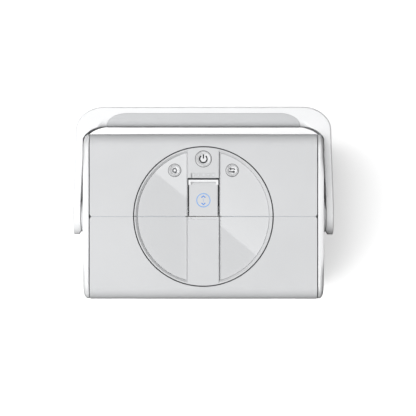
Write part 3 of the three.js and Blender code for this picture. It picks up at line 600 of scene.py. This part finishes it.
def latch_well_shade_strip():
    """A dark strip along three sides of the latch's well, under the gaps round the latch: painted shade for
    the gaps' shadow.
    """
    z = (WELL_Z, WELL_Z + 1.3)
    frame = block(both(WELL_X - 0.02), (FOOT_WELL_Y + 0.5, WELL_Y - 0.02), z)
    room = block(both(LATCH_HEAD_X - 0.4), (FOOT_WELL_Y - 1, WELL_Y - 2.4), (z[0] - 1, z[1] + 1))
    return cut(frame, room)


# Dark rings in the grooves round the inlay: painted shade for the grooves' shadow.
place(groove_shade_ring(), "rear_groove_seal", "rear_leaf", "dark_plastic", dark_plastic)
place(half_turn(groove_shade_ring()), "front_groove_seal", "front_leaf", "dark_plastic", dark_plastic)
place(seam_seal(), "leaf_seam_seal", "rear_leaf", "gasket_silicone", silicone)
# A dark strip under the gaps round the latch: painted shade.
place(latch_well_shade_strip(), "latch_well_shade_strip", "rear_leaf", "dark_plastic", dark_plastic)
place(leaf_shell(True), "rear_leaf_cover", "rear_leaf", "shell_grey", shell_grey, "rear_leaf_shell")
place(half_turn(leaf_shell(False)), "front_leaf_cover", "front_leaf", "shell_grey", shell_grey,
      "front_leaf_shell")
place(rear_inlay(), "rear_half_inlay", "rear_leaf", "shell_grey", shell_grey, "rear_inlay")
place(half_turn(front_inlay()), "front_half_inlay", "front_leaf", "shell_grey", shell_grey, "front_inlay")
place(pane(True), "rear_right_pane", "rear_leaf", "pane_gloss", pane_gloss, "rear_pane_right")
place(mirrored(pane(True)), "rear_left_pane", "rear_leaf", "pane_gloss", pane_gloss, "rear_pane_left")
place(half_turn(pane(False)), "front_left_pane", "front_leaf", "pane_gloss", pane_gloss, "front_pane_left")
place(half_turn(mirrored(pane(False))), "front_right_pane", "front_leaf", "pane_gloss", pane_gloss,
      "front_pane_right")
place(liner(), "rear_inner_liner", "rear_leaf", "liner_white", liner_white, "rear_liner")
place(half_turn(liner()), "front_inner_liner", "front_leaf", "liner_white", liner_white, "front_liner")


# ---- Keys ----
def dished_cap(r, stem, at):
    """A cap with a dished face on its stem; its rim is at z = 0."""
    dish = []
    for k in range(15):
        u = k / 14
        rise = 0.5 - 0.5 * math.cos(math.pi * u)
        dish.append((0.60 * r + u * 0.33 * r, -KEY_DISH + (KEY_DISH - 0.06) * rise))
    rim = [(r - 0.25, 0), (r - 0.08, -0.06), (r, -0.25)]
    profile = [(0, -KEY_DISH)] + dish + rim + [(r, -CAP_T), (STEM_R, -CAP_T), (STEM_R, -stem), (0, -stem)]
    return turned("cap", profile, at)


def bezel(r, depth, at):
    inner = r - BEZEL_W
    profile = [(inner, -depth), (inner, -0.15), (inner + 0.12, 0), (r - 0.3, 0), (r - 0.08, -0.1), (r, -0.28),
               (r, -0.5), (r - 0.5, -0.5), (r - 0.5, -depth), (inner, -depth)]
    return turned("bezel", profile, at)


def stroke(points, width, z, thickness=0.05):
    """A flat line of that width along the points, just proud of the surface at z."""
    left, right = [], []
    for i, point in enumerate(points):
        before = Vector(points[max(i - 1, 0)])
        after = Vector(points[min(i + 1, len(points) - 1)])
        way = (after - before).normalized()
        side = Vector((-way.y, way.x)) * width / 2
        left.append(Vector(point) + side)
        right.append(Vector(point) - side)
    outline = [tuple(p) for p in left + right[::-1]]
    return prism(outline, "Z", z, z + thickness, "mark")


def ring_mark(r, width, z, start=0, end=360):
    """A ring, or an arc of it, as a flat mark."""
    steps = 72
    full = end - start >= 360
    rings = []
    for k in range(steps if full else steps + 1):
        t = math.radians(start + (end - start) * k / steps)
        near, far = r - width / 2, r + width / 2
        rings.append([(q * math.cos(t), q * math.sin(t), h) for q, h in
                      ((near, z), (far, z), (far, z + 0.05), (near, z + 0.05))])
    return loft("mark", rings, closed=full)


def merged(marks, at):
    """Several flat marks as one piece, moved to its place."""
    base = marks[0]
    work = bmesh.new()
    for mark in marks:
        work.from_mesh(mark.data)
    work.to_mesh(base.data)
    work.free()
    for mark in marks[1:]:
        bpy.data.objects.remove(mark)
    base.data.transform(Matrix.Translation((*at, 0)))
    return base


def power_mark(z):
    return [ring_mark(3.7, 1.35, z, 126, 414), stroke([(0, 0.4), (0, 5.1)], 1.3, z)]


def roll_mark(z):
    return [ring_mark(1.9, 1.3, z), stroke([(0.2, -2.6), (3.0, -2.6)], 1.1, z)]


def swap_mark(z):
    marks = []
    for way in (-1, 1):
        shaft = [(-1.2, 1.5), (1.9, 1.5), (2.5, 1.1), (2.6, 0.4)]
        head = [(-3.0, 1.5), (-1.1, 3.0), (-1.1, 0.0)]
        marks.append(stroke([(-way * x, -way * y) for x, y in shaft], 1.05, z))
        marks.append(prism([(-way * x, -way * y) for x, y in head], "Z", z, z + 0.05, "mark"))
    return marks


def key_shade_ring(r, z, at):
    """A dark ring down in the gap between a key's bezel and the face round it: painted shade for the gap's
    shadow.
    """
    return cut(disc(r + KEY_GAP - 0.01, (z - 0.4, z), at), disc(r - 0.3, (z - 1, z + 1), at))


POWER_RING_R = POWER_BEZEL_R + 0.2 - KEY_GAP
KEY_RING_R = KEY_BEZEL_R - KEY_GAP
keys = [
    ("power", 0, POWER_Y, POWER_RIM_Z, POWER_RING_R, 2.2, TOP_Z - 0.1, TOP_Z - 0.8, power_mark, ink_dark),
    ("left", -KEY_X, KEY_Y, KEY_RIM_Z, KEY_RING_R, 1.6, PANE_TOP + 0.8, PANE_TOP - 0.3, roll_mark, ink_grey),
    ("right", KEY_X, KEY_Y, KEY_RIM_Z, KEY_RING_R, 1.6, PANE_TOP + 0.8, PANE_TOP - 0.3, swap_mark, ink_dark),
]
for word, x, y, rim_z, bezel_r, bezel_depth, bezel_z, shade_ring_z, mark, ink in keys:
    cap = dished_cap(bezel_r - BEZEL_W - 0.2, rim_z - STEM_END_Z, (x, y, rim_z))
    place(cap, word + "_key_cap", word + "_key", "button_silver", cap_silver, word + "_button")
    ring = bezel(bezel_r, bezel_depth, (x, y, bezel_z))
    place(ring, word + "_key_ring", "rear_leaf", "button_silver", cap_silver, word + "_bezel")
    # A dark ring in each key's gap: painted shade.
    place(key_shade_ring(bezel_r, shade_ring_z, (x, y)), word + "_key_shade_ring", "rear_leaf", "dark_plastic", dark_plastic)
    place(merged(mark(rim_z - KEY_DISH), (x, y)), word + "_key_mark", word + "_key", "dark_plastic", ink)


# ---- Indicator dots: five light pipes on one bar ----
def light_bar():
    """Five pipes whose ends lie flush in the slope above the latch."""
    slope = SCOOP_DEPTH / (SCOOP_Y[1] - SCOOP_Y[0])
    bar = block(both(12), (LIGHT_Y - 1.5, LIGHT_Y + 1.5), (142.6, 144.2))
    for k in range(-2, 3):
        bar = join(bar, disc(LIGHT_R, (143, TOP_Z), (k * LIGHT_PITCH, LIGHT_Y), 32))
    near, far = LIGHT_Y - 3, LIGHT_Y + 3
    surface = [(y, TOP_Z - 0.04 - slope * (SCOOP_Y[1] - y)) for y in (near, far)]
    above = surface + [(far, TOP_Z + 2), (near, TOP_Z + 2)]
    return cut(bar, prism(above, "X", *both(13)))


place(light_bar(), "indicator_lights", "rear_leaf", "light_clear", light_clear, "light_bar")


# ---- Latch ----
def latch_lever():
    z = (TOP_Z - LATCH_T, LATCH_TOP_Z)
    plate = ([(-LATCH_X, LATCH_Y[0]), (LATCH_X, LATCH_Y[0]), (LATCH_X, LATCH_HEAD_Y),
              (LATCH_HEAD_X, LATCH_HEAD_Y)]
             + arc((LATCH_HEAD_X - 0.8, LATCH_Y[1] - 0.8), 0.8, 0, 90, 6)
             + arc((0.8 - LATCH_HEAD_X, LATCH_Y[1] - 0.8), 0.8, 90, 180, 6)
             + [(-LATCH_HEAD_X, LATCH_HEAD_Y), (-LATCH_X, LATCH_HEAD_Y)])
    lever = join(prism(plate, "Z", *z), rod(2.3, both(LATCH_X), (AXLE_Y, AXLE_Z)))
    ramp_start = LATCH_Y[1] - 2.3
    ramp = [(ramp_start, TOP_Z + 1), (ramp_start, TOP_Z - 1.2), (ramp_start - 4, TOP_Z),
            (ramp_start - 4, TOP_Z + 1)]
    lever = cut(
        lever,
        prism(ramp, "X", *both(12.2)),
        block((-12.4, 12), (ramp_start - 0.75, ramp_start + 0.1), (TOP_Z - 1.9, TOP_Z + 1)),
        block((-12.4, -11.4), (ramp_start - 2, ramp_start + 0.1), (TOP_Z - 1.9, TOP_Z + 1)),
        rod(1.3, both(LATCH_X + 1), (AXLE_Y, AXLE_Z), 24),
        rod(1.95, both(5.5), (AXLE_Y, AXLE_Z), 32),
        block(both(5.5), (AXLE_Y - 3, AXLE_Y + 3), (AXLE_Z - 3, AXLE_Z)),
    )
    return soften(lever, 0.3)


def latch_highlight_rim():
    """A pale trim round three sides of the thumb rest: a painted highlight, standing in for the light the
    rest's edges catch.
    """
    z = (TOP_Z - 0.6, TOP_Z)
    edge_y = LATCH_Y[1] - 0.25
    frame = block(both(LATCH_HEAD_X - 0.25), (LATCH_HEAD_Y + 0.3, edge_y), z)
    room = block(both(LATCH_HEAD_X - 2.1), (LATCH_HEAD_Y - 1, edge_y - 1.75), (z[0] - 1, z[1] + 1))
    return soften(cut(frame, room), 0.12)


# A pale trim round the thumb rest: a painted highlight.
place(latch_highlight_rim(), "latch_highlight_rim", "latch", "plate_white", plate_white)
place(latch_lever(), "latch_plate", "latch", "shell_grey", shell_grey, "latch_lever")
place(merged([ring_mark(6.65, 0.85, LATCH_TOP_Z)], (0, MARK_Y)), "latch_ring_mark", "latch", "light_clear",
      ink_pale_blue)
chevrons = [stroke([(-1.9, way * 2.7), (0, way * 4.4), (1.9, way * 2.7)], 1.05, LATCH_TOP_Z)
            for way in (-1, 1)]
place(merged(chevrons, (0, MARK_Y)), "latch_chevron_marks", "latch", "light_clear", ink_blue)
dots = [stroke([(0, y - 0.28), (0, y + 0.28)], 0.5, LATCH_TOP_Z) for y in (-1.35, -0.45, 0.45, 1.35)]
place(merged(dots, (0, MARK_Y)), "latch_dot_marks", "latch", "light_clear", ink_pale_blue)


# ---- Side plates ----
def side_plate():
    """The right-hand plate: a rounded outline whose face swells out from a thin rim."""
    outer_r, wide, deep, rim = 18, 7, 4.4, PLATE_X[1] - PLATE_X[0] - 4.4
    low, high = span("side_plate_right", 2)

    def ring(inset, x):
        """The outline drawn in by the inset, or by less along the straight top, where the edge is crisp."""
        r = max(outer_r - inset, 1.5)
        outline = rounded((inset - HALF_Y, HALF_Y - inset), (low + inset, high - inset), r, 16)
        steps = 24
        end = HALF_Y - inset - r - 1
        edge = min(inset, wide)
        crisp = []
        for k in range(steps + 1):
            u = end - 2 * end * k / steps
            share = 0.5 - 0.5 * math.cos(math.pi * min(1, (end - abs(u)) / 22))
            crisp.append((u, high - inset + 0.86 * share * edge))
        half = len(outline) // 2
        return [(x, u, v) for u, v in outline[:half] + crisp + outline[half:]]

    rings = [ring(0.5, PLATE_X[0]), ring(0.12, PLATE_X[0] + 0.12), ring(0, PLATE_X[0] + 0.5)]
    for k in range(17):
        t = math.radians(90 * k / 16)
        rings.append(ring(wide * (1 - math.cos(t)), PLATE_X[0] + rim + deep * math.sin(t) * 0.97))
    for k in range(1, 7):
        u = k / 6
        rings.append(ring(wide + 55 * u, PLATE_X[1] - deep * 0.03 * (1 - u * (2 - u))))
    plate = loft("plate", rings)
    return cut(plate, rod(BOSS_R - 1.5, (PLATE_X[1] - 1.5, PLATE_X[1] + 1), (0, PIVOT_Z), 64),
               rod(SPINDLE_R, (PLATE_X[0] - 1, PLATE_X[1] + 1), (0, PIVOT_Z), 48))


def pivot_boss():
    near, far = PLATE_X[1] - 0.3, BOSS_X[1] + 0.45
    r = BOSS_R + 2.2
    profile = [(SPINDLE_R, near), (r, near), (r, far - 0.5), (r - 0.15, far - 0.15), (r - 0.5, far),
               (SPINDLE_R, far), (SPINDLE_R, near)]
    boss = turned("boss", profile)
    boss.data.transform(Matrix.Translation((0, 0, PIVOT_Z)) @ Matrix.Rotation(math.pi / 2, 4, "Y"))
    return boss


place(side_plate(), "right_side_panel", "casing", "plate_white", plate_white, "side_plate_right")
place(half_turn(side_plate()), "left_side_panel", "casing", "plate_white", plate_white, "side_plate_left")
place(pivot_boss(), "right_pivot_boss", "casing", "plate_white", plate_white, "pivot_boss_right")
place(half_turn(pivot_boss()), "left_pivot_boss", "casing", "plate_white", plate_white, "pivot_boss_left")


# ---- Lower casing ----
TUB_TOP_Z = HINGE_Z - BARREL_R - 0.6
END_TOP_Z = LEAF_Z - 0.9
SILL_Y = HALF_Y - BOTTOM_R - 2 + FIT
INLET = (62, 31.5)


def tub():
    flank = rounded(both(HALF_Y), (FLOOR_GAP, END_TOP_Z + 3 * BOTTOM_R), BOTTOM_R, 24)
    shell = prism(rounded(both(HALF_X), both(HALF_Y), 1, 4), "Z", FLOOR_GAP, END_TOP_Z)
    shell = common(shell, prism(flank, "X", *both(HALF_X + 1)))
    shell = cut(
        shell,
        block(both(HALF_X - WALL), both(HALF_Y - WALL), (FLOOR_GAP + BOTTOM_R, END_TOP_Z + 1)),
        block(both(HALF_X - WALL), both(SILL_Y), (FLOOR_GAP - 1, FLOOR_GAP + BOTTOM_R + 1)),
    )
    ledge = cut(prism(rounded(both(HALF_X - 1), both(HALF_Y - 1), 1, 2), "Z", *LEDGE_Z),
                prism(rounded(both(107), both(75), 10), "Z", 120, 135))
    shell = join(shell, ledge)
    for end in (-1, 1):
        outside = sorted((end * (HALF_Y - WALL - 1), end * (HALF_Y + 1)))
        shell = cut(shell, block(both(HALF_X + 1), outside, (TUB_TOP_Z, END_TOP_Z + 1)),
                    rod(BARREL_R + 0.7, both(HALF_X + 1), (end * HINGE_Y, HINGE_Z)))
        for side in (-1, 1):
            x = sorted((side * (KNUCKLE_X[0] + FIT), side * (KNUCKLE_X[1] - FIT)))
            web = block(x, sorted((end * (HINGE_Y - 1.6), end * (HINGE_Y + 1.4))), (TUB_TOP_Z - 1, HINGE_Z))
            knuckle = cut(join(web, rod(BARREL_R, x, (end * HINGE_Y, HINGE_Z))),
                          rod(PIN_HOLE_R, (x[0] - 1, x[1] + 1), (end * HINGE_Y, HINGE_Z), 24))
            shell = join(shell, knuckle)
    socket_x = (INLET[0] - SOCKET[0], INLET[0] + SOCKET[0])
    socket_z = (INLET[1] - SOCKET[1], INLET[1] + SOCKET[1])
    socket = block(socket_x, (HALF_Y - 5, HALF_Y + 1), socket_z)
    return soften(cut(shell, socket), 0.5)


place(tub(), "lower_casing", "casing", "shell_grey", shell_grey, "tub_shell")


# ---- Handle, drawn about its pivot axis and lying back along +Y ----
ARM_FACE = 124
ARM_NEAR = 121.8
MID_OUT = 129.1
MID_IN = 123.4
OUTER_CORNER = (29.6, 23.5)
INNER_CORNER = (24.9, 19)
GRIP_END = 21
INNER_EDGE_R = 8
ARM_EDGE_R = 0.8
OUTER_EDGE_R = 1.9
ARM_TAPER_Y = 10
ARM_NEAR_START_Y = 14
ARM_NEAR_SPAN = 46
END_CHAMFER_Y = -13.5
CAP_RECESS_R = 9.2
CORNER_STEPS = 32
BAR_STEPS = 8
ARM_STEPS = 24
HUB_STEPS = 16


def outer_hit(centre, angle):
    """Where a ray from the centre, in the first quadrant, meets the handle's outer outline."""
    way = Vector((math.cos(angle), math.sin(angle)))
    corner_y = BAR_OUT - OUTER_CORNER[1]
    slope = (MID_OUT - ARM_OUT) / (corner_y - ARM_TAPER_Y)
    reach = math.inf
    if way.x > 0.05:
        reach = (ARM_OUT + slope * (centre[1] - ARM_TAPER_Y) - centre[0]) / (way.x - slope * way.y)
    if 0 < reach and centre[1] + reach * way.y <= corner_y:
        return Vector(centre) + reach * way
    dx, dy = centre[0] - (MID_OUT - OUTER_CORNER[0]), centre[1] - corner_y
    ax, ay = OUTER_CORNER
    a = (way.x / ax) ** 2 + (way.y / ay) ** 2
    b = 2 * (dx * way.x / ax ** 2 + dy * way.y / ay ** 2)
    c = (dx / ax) ** 2 + (dy / ay) ** 2 - 1
    point = Vector(centre) + way * ((-b + math.sqrt(b * b - 4 * a * c)) / (2 * a))
    return point if point.x >= MID_OUT - OUTER_CORNER[0] else Vector((point.x, BAR_OUT))


def half_height(y):
    """Half the strap's width at that distance from the pivot."""
    if y < 0:
        return math.sqrt(max(HUB_R ** 2 - y * y, 0.04))
    return BAR_HALF_Z + (HUB_R - BAR_HALF_Z) * (1 - min(y / 70, 1)) ** 1.3


def strap_section(inner, outer, half, inner_r, outer_r, steps=8):
    """A rounded section between two points in plan, as points around it."""
    thickness = (outer - inner).length
    way = (outer - inner) / thickness
    inner_r = min(inner_r, half * 0.98, thickness * 0.62)
    outer_r = min(outer_r, half * 0.98, thickness * 0.36)
    loop = (arc((thickness - outer_r, half - outer_r), outer_r, 0, 90, steps)
            + arc((inner_r, half - inner_r), inner_r, 90, 180, steps)
            + arc((inner_r, inner_r - half), inner_r, 180, 270, steps)
            + arc((thickness - outer_r, outer_r - half), outer_r, 270, 360, steps))
    return [(inner.x + way.x * u, inner.y + way.y * u, z) for u, z in loop]


def handle_half():
    """Stations from the middle of the crossbar to the end of the right arm."""
    centre = (MID_IN - INNER_CORNER[0], BAR_IN - INNER_CORNER[1])
    stations = []
    for k in range(BAR_STEPS):
        x = centre[0] * k / BAR_STEPS
        stations.append((Vector((x, BAR_IN)), Vector((x, BAR_OUT)), INNER_EDGE_R))
    for k in range(CORNER_STEPS + 1):
        angle = math.radians(90 - 90 * k / CORNER_STEPS)
        inner = Vector((centre[0] + INNER_CORNER[0] * math.cos(angle),
                        centre[1] + INNER_CORNER[1] * math.sin(angle)))
        ray = math.atan2(inner.y - centre[1], inner.x - centre[0])
        inner.x = min(inner.x, ARM_NEAR)
        blend = 0.5 - 0.5 * math.cos(math.pi * min(1, k / 9))
        edge_r = INNER_EDGE_R + (ARM_EDGE_R - INNER_EDGE_R) * blend
        stations.append((inner, outer_hit(centre, ray), edge_r))
    corner_y = BAR_OUT - OUTER_CORNER[1]
    levels = [centre[1] * (1 - k / ARM_STEPS) for k in range(1, ARM_STEPS + 1)]
    levels += [-HUB_R * math.sin(math.radians(90 * k / HUB_STEPS)) for k in range(1, HUB_STEPS + 1)]
    for y in levels:
        share = min(1, max(0, (y - ARM_NEAR_START_Y) / ARM_NEAR_SPAN))
        inner_x = ARM_FACE + (ARM_NEAR - ARM_FACE) * share
        inner_x += 0.5 * max(0, END_CHAMFER_Y - y)
        outer_x = ARM_OUT + (MID_OUT - ARM_OUT) * max(0, (y - ARM_TAPER_Y) / (corner_y - ARM_TAPER_Y))
        stations.append((Vector((inner_x, y)), Vector((outer_x, y)), ARM_EDGE_R))
    return stations


def bar_section(proud, far_y, steps=16):
    z = BAR_HALF_Z + proud
    r = INNER_EDGE_R + proud
    y = BAR_IN - proud + r
    return ([(far_y, z)] + arc((y, z - r), r, 90, 180, steps) + arc((y, r - z), r, 180, 270, steps)
            + [(far_y, -z)])


def grip_solid(grow, proud, depth):
    """What the pad fills: its plan, between two sections of the crossbar."""
    edge = arc((GRIP_X - GRIP_END, BAR_IN), (GRIP_END + grow, GRIP_Y - BAR_IN + grow), 0, 90, 32)
    other_edge = [(-x, y) for x, y in edge[::-1]]
    plan = [(GRIP_X + grow, BAR_IN - 5)] + edge + other_edge + [(-GRIP_X - grow, BAR_IN - 5)]
    pad = prism(plan, "Z", *both(BAR_HALF_Z + 3))
    pad = common(pad, prism(bar_section(proud, BAR_OUT - 1), "X", *both(HALF_X)))
    return cut(pad, prism(bar_section(-depth, BAR_OUT + 1), "X", *both(HALF_X + OVER)))


def handle_cap():
    x = ARM_OUT
    profile = [(0, x - 1.3), (8.9, x - 1.3), (8.9, x - 0.3), (8.75, x - 0.08), (8.4, x), (3, x - 0.25),
               (0, x - 0.3)]
    cap = turned("cap", profile)
    cap.data.transform(Matrix.Rotation(math.pi / 2, 4, "Y"))
    return cap


def handle_bail():
    half = handle_half()
    right = [strap_section(inner, outer, half_height(min(inner.y, outer.y)), r, OUTER_EDGE_R)
             for inner, outer, r in half]
    left = [[(-x, y, z) for x, y, z in ring] for ring in right[:0:-1]]
    bail = loft("bail", left + right)
    for side in (-1, 1):
        cap_x = sorted((side * (ARM_OUT - 1.5), side * (ARM_OUT + 1)))
        spindle_x = sorted((side * (ARM_FACE - 1), side * (ARM_OUT - 1)))
        bail = cut(bail, rod(CAP_RECESS_R, cap_x, (0, 0), 64), rod(SPINDLE_R, spindle_x, (0, 0), 48))
    return cut(bail, grip_solid(0.15, 1, 2.2))


def raised(made):
    """Lifts a piece drawn about the pivot axis to the pivot's height."""
    made.data.transform(Matrix.Translation((0, 0, PIVOT_Z)))
    return made


handle_pieces = [
    place(raised(handle_bail()), "carry_handle", "handle", "plate_white", plate_white, "handle_bail"),
    place(raised(soften(grip_solid(0, 0.1, 2), 0.35)), "carry_handle_grip", "handle", "grip_soft", grip_soft,
          "handle_grip"),
    place(raised(handle_cap()), "right_handle_cap", "handle", "grip_soft", grip_soft, "handle_cap_right"),
    place(raised(half_turn(handle_cap())), "left_handle_cap", "handle", "grip_soft", grip_soft,
          "handle_cap_left"),
]


# ---- CAD nodes that stay, with the finish of their slot ----
finishes = {
    "shell_grey": shell_grey, "pane_gloss": pane_gloss, "plate_white": plate_white, "grip_soft": grip_soft,
    "button_silver": cap_silver, "liner_white": liner_white, "dark_plastic": dark_plastic,
    "foot_rubber": foot_rubber, "gasket_silicone": silicone, "stainless": stainless, "steel": turned_steel,
    "magnet_dark": coated, "circuit_green": solder_mask, "light_clear": light_clear,
}
slot_of = {part["node"]: part["material_slot"] for part in frame["record"]["subparts"]}
for node, made in frame["nodes"].items():
    made.data.materials.clear()
    made.data.materials.append(finishes[slot_of[node]])
    soft_edge = made.modifiers.new("soften", "BEVEL")
    soft_edge.width = 0.25 * MM
    soft_edge.segments = 2
    soft_edge.limit_method = "ANGLE"
    soft_edge.angle_limit = math.radians(40)


# ---- Floor and light ----
def stage_plane(name, size, z, material):
    half = size / 2
    points = [(-half, -half, z), (half, -half, z), (half, half, z), (-half, half, z)]
    mesh = bpy.data.meshes.new(name)
    mesh.from_pydata(points, [], [(0, 1, 2, 3)])
    mesh.materials.append(material)
    made = link(name, mesh)
    return made


def area_light(name, at, target, size, power):
    data = bpy.data.lights.new(name, "AREA")
    data.shape = "RECTANGLE"
    data.size, data.size_y = size
    data.energy = power
    lamp = bpy.data.objects.new(name, data)
    lamp.location = at
    lamp.rotation_mode = "QUATERNION"
    lamp.rotation_quaternion = (Vector(target) - Vector(at)).to_track_quat("-Z", "Y")
    bpy.context.scene.collection.objects.link(lamp)
    return lamp


# The floor glows a little, and sends no light back up to the object.
FLOOR_GLOW = 0.62
floor_paper = plastic("floor_paper", (0.94, 0.94, 0.94), 0.9, 300, 0.00005, spot=0.002, specular=0.1)
floor_shader = floor_paper.node_tree.nodes["Principled BSDF"]
floor_shader.inputs["Emission Color"].default_value = (1, 1, 1, 1)
floor_shader.inputs["Emission Strength"].default_value = FLOOR_GLOW
floor = stage_plane("floor", 24, 0, floor_paper)
floor.visible_diffuse = False
floor.visible_glossy = False

SKY = {"From Min": -1, "From Max": 1, "To Min": 0.04, "To Max": 0.10}
SKY_SHIFT = 0.45
SKY_SIDES = 0.5
world = bpy.data.worlds.new("studio")
bpy.context.scene.world = world
world.use_nodes = True
tree = world.node_tree
direction = tree.nodes.new("ShaderNodeTexCoord").outputs["Generated"]
split = tree.nodes.new("ShaderNodeSeparateXYZ")
tree.links.new(direction, split.inputs["Vector"])
lift = tree.nodes.new("ShaderNodeMapRange")
for key, value in SKY.items():
    lift.inputs[key].default_value = value
tree.links.new(split.outputs["Z"], lift.inputs["Value"])
# The sky is brighter near the horizon at the sides, and more so on the left.
shifted = tree.nodes.new("ShaderNodeMath")
shifted.operation = "SUBTRACT"
shifted.inputs[1].default_value = SKY_SHIFT
tree.links.new(split.outputs["X"], shifted.inputs[0])
sides = tree.nodes.new("ShaderNodeMath")
sides.operation = "MULTIPLY"
tree.links.new(split.outputs["X"], sides.inputs[0])
tree.links.new(shifted.outputs[0], sides.inputs[1])
both_sides = tree.nodes.new("ShaderNodeMath")
both_sides.operation = "MULTIPLY_ADD"
both_sides.inputs[1].default_value = SKY_SIDES
tree.links.new(sides.outputs[0], both_sides.inputs[0])
tree.links.new(lift.outputs["Result"], both_sides.inputs[2])
tree.links.new(both_sides.outputs[0], tree.nodes["Background"].inputs["Strength"])

# A bright card beyond the camera, seen only in glossy surfaces: its straight edge shows in the panes.
CARD_Z = 2.65
CARD_EDGE = ((-0.140, 0.106), (0.133, -0.117))
CARD_DEPTH = 0.6
CARD_FADE = 0.28
CARD_GLOW = 2.4
card_glow = Nodes("card_glow")
card_start = Vector(CARD_EDGE[0])
card_way = (Vector(CARD_EDGE[1]) - card_start).normalized()
card_out = Vector((-card_way.y, card_way.x))
near = [card_start - card_way * 1.0, card_start + card_way * 1.4]
far = [point + card_out * CARD_DEPTH for point in near]
card_mesh = bpy.data.meshes.new("card")
card_mesh.from_pydata([(p.x, p.y + MIDDLE_Y * MM, CARD_Z) for p in near + far[::-1]], [], [(0, 1, 2, 3)])
distance = card_glow.tree.nodes.new("ShaderNodeVectorMath")
distance.operation = "DOT_PRODUCT"
distance.inputs[1].default_value = (card_out.x, card_out.y, 0)
card_glow.wire(card_glow.coordinates, distance.inputs[0])
edge_at = card_start.dot(card_out)
card_glow.wire(card_glow.ramp(distance.outputs["Value"], edge_at, edge_at + CARD_FADE, CARD_GLOW, 0.0),
               card_glow.shader.inputs["Emission Strength"])
card_glow.shader.inputs["Emission Color"].default_value = (1, 1, 1, 1)
card_glow.shader.inputs["Base Color"].default_value = (0, 0, 0, 1)
card_mesh.materials.append(card_glow.material)
card = link("card", card_mesh)
card.visible_camera = False
card.visible_diffuse = False
card.visible_shadow = False

# One lamp casts the shadow on the floor; a weaker one in its place and a fill from above light the object.
KEY_AT = (-1.65, -0.38, 2.72)
KEY_SIZE = (3.2, 3.2)
FILL_AT = (0.5, 0.3, 2.8)
FILL_SIZE = (2.0, 2.0)
AIM = (0, 0, 0.1)
floor_lamp = area_light("floor_key", KEY_AT, AIM, KEY_SIZE, 152)
key_lamp = area_light("key", KEY_AT, AIM, KEY_SIZE, 112)
fill_lamp = area_light("fill", FILL_AT, AIM, FILL_SIZE, 36)
fill_lamp.visible_glossy = False


def linked(name, state, objects):
    """A collection whose objects a lamp is to reach, or to leave out."""
    chosen = bpy.data.collections.new(name)
    for k, made in enumerate(objects):
        chosen.objects.link(made)
        chosen.collection_objects[k].light_linking.link_state = state
    return chosen


# The handle casts no shadow on the floor.
floor_lamp.light_linking.receiver_collection = linked("floor_alone", "INCLUDE", [floor])
floor_lamp.light_linking.blocker_collection = linked("no_floor_shadow", "EXCLUDE", handle_pieces)
all_but_floor = linked("all_but_floor", "EXCLUDE", [floor])
for lamp in (key_lamp, fill_lamp):
    lamp.light_linking.receiver_collection = all_but_floor

# Three weak lamps low down reach only the base plate and the inlet. The walls get none of their light.
LOW_AIM = (0, 0, 0.08)
LOW_SIZE = (2.4, 1.2)
LOW_LAMPS = [("room_front", (-0.3, -2.5, 0.45), 40), ("room_back", (0.3, 2.5, 0.45), 32),
             ("room_right", (2.5, -0.2, 0.45), 12)]
low_pieces = linked("low_pieces", "INCLUDE", [frame["nodes"][node] for node in ("base_plate", "power_inlet")])
for name, at, power in LOW_LAMPS:
    lamp = area_light(name, at, LOW_AIM, LOW_SIZE, power)
    lamp.visible_glossy = False
    lamp.light_linking.receiver_collection = low_pieces

bpy.context.scene.view_settings.view_transform = "Standard"
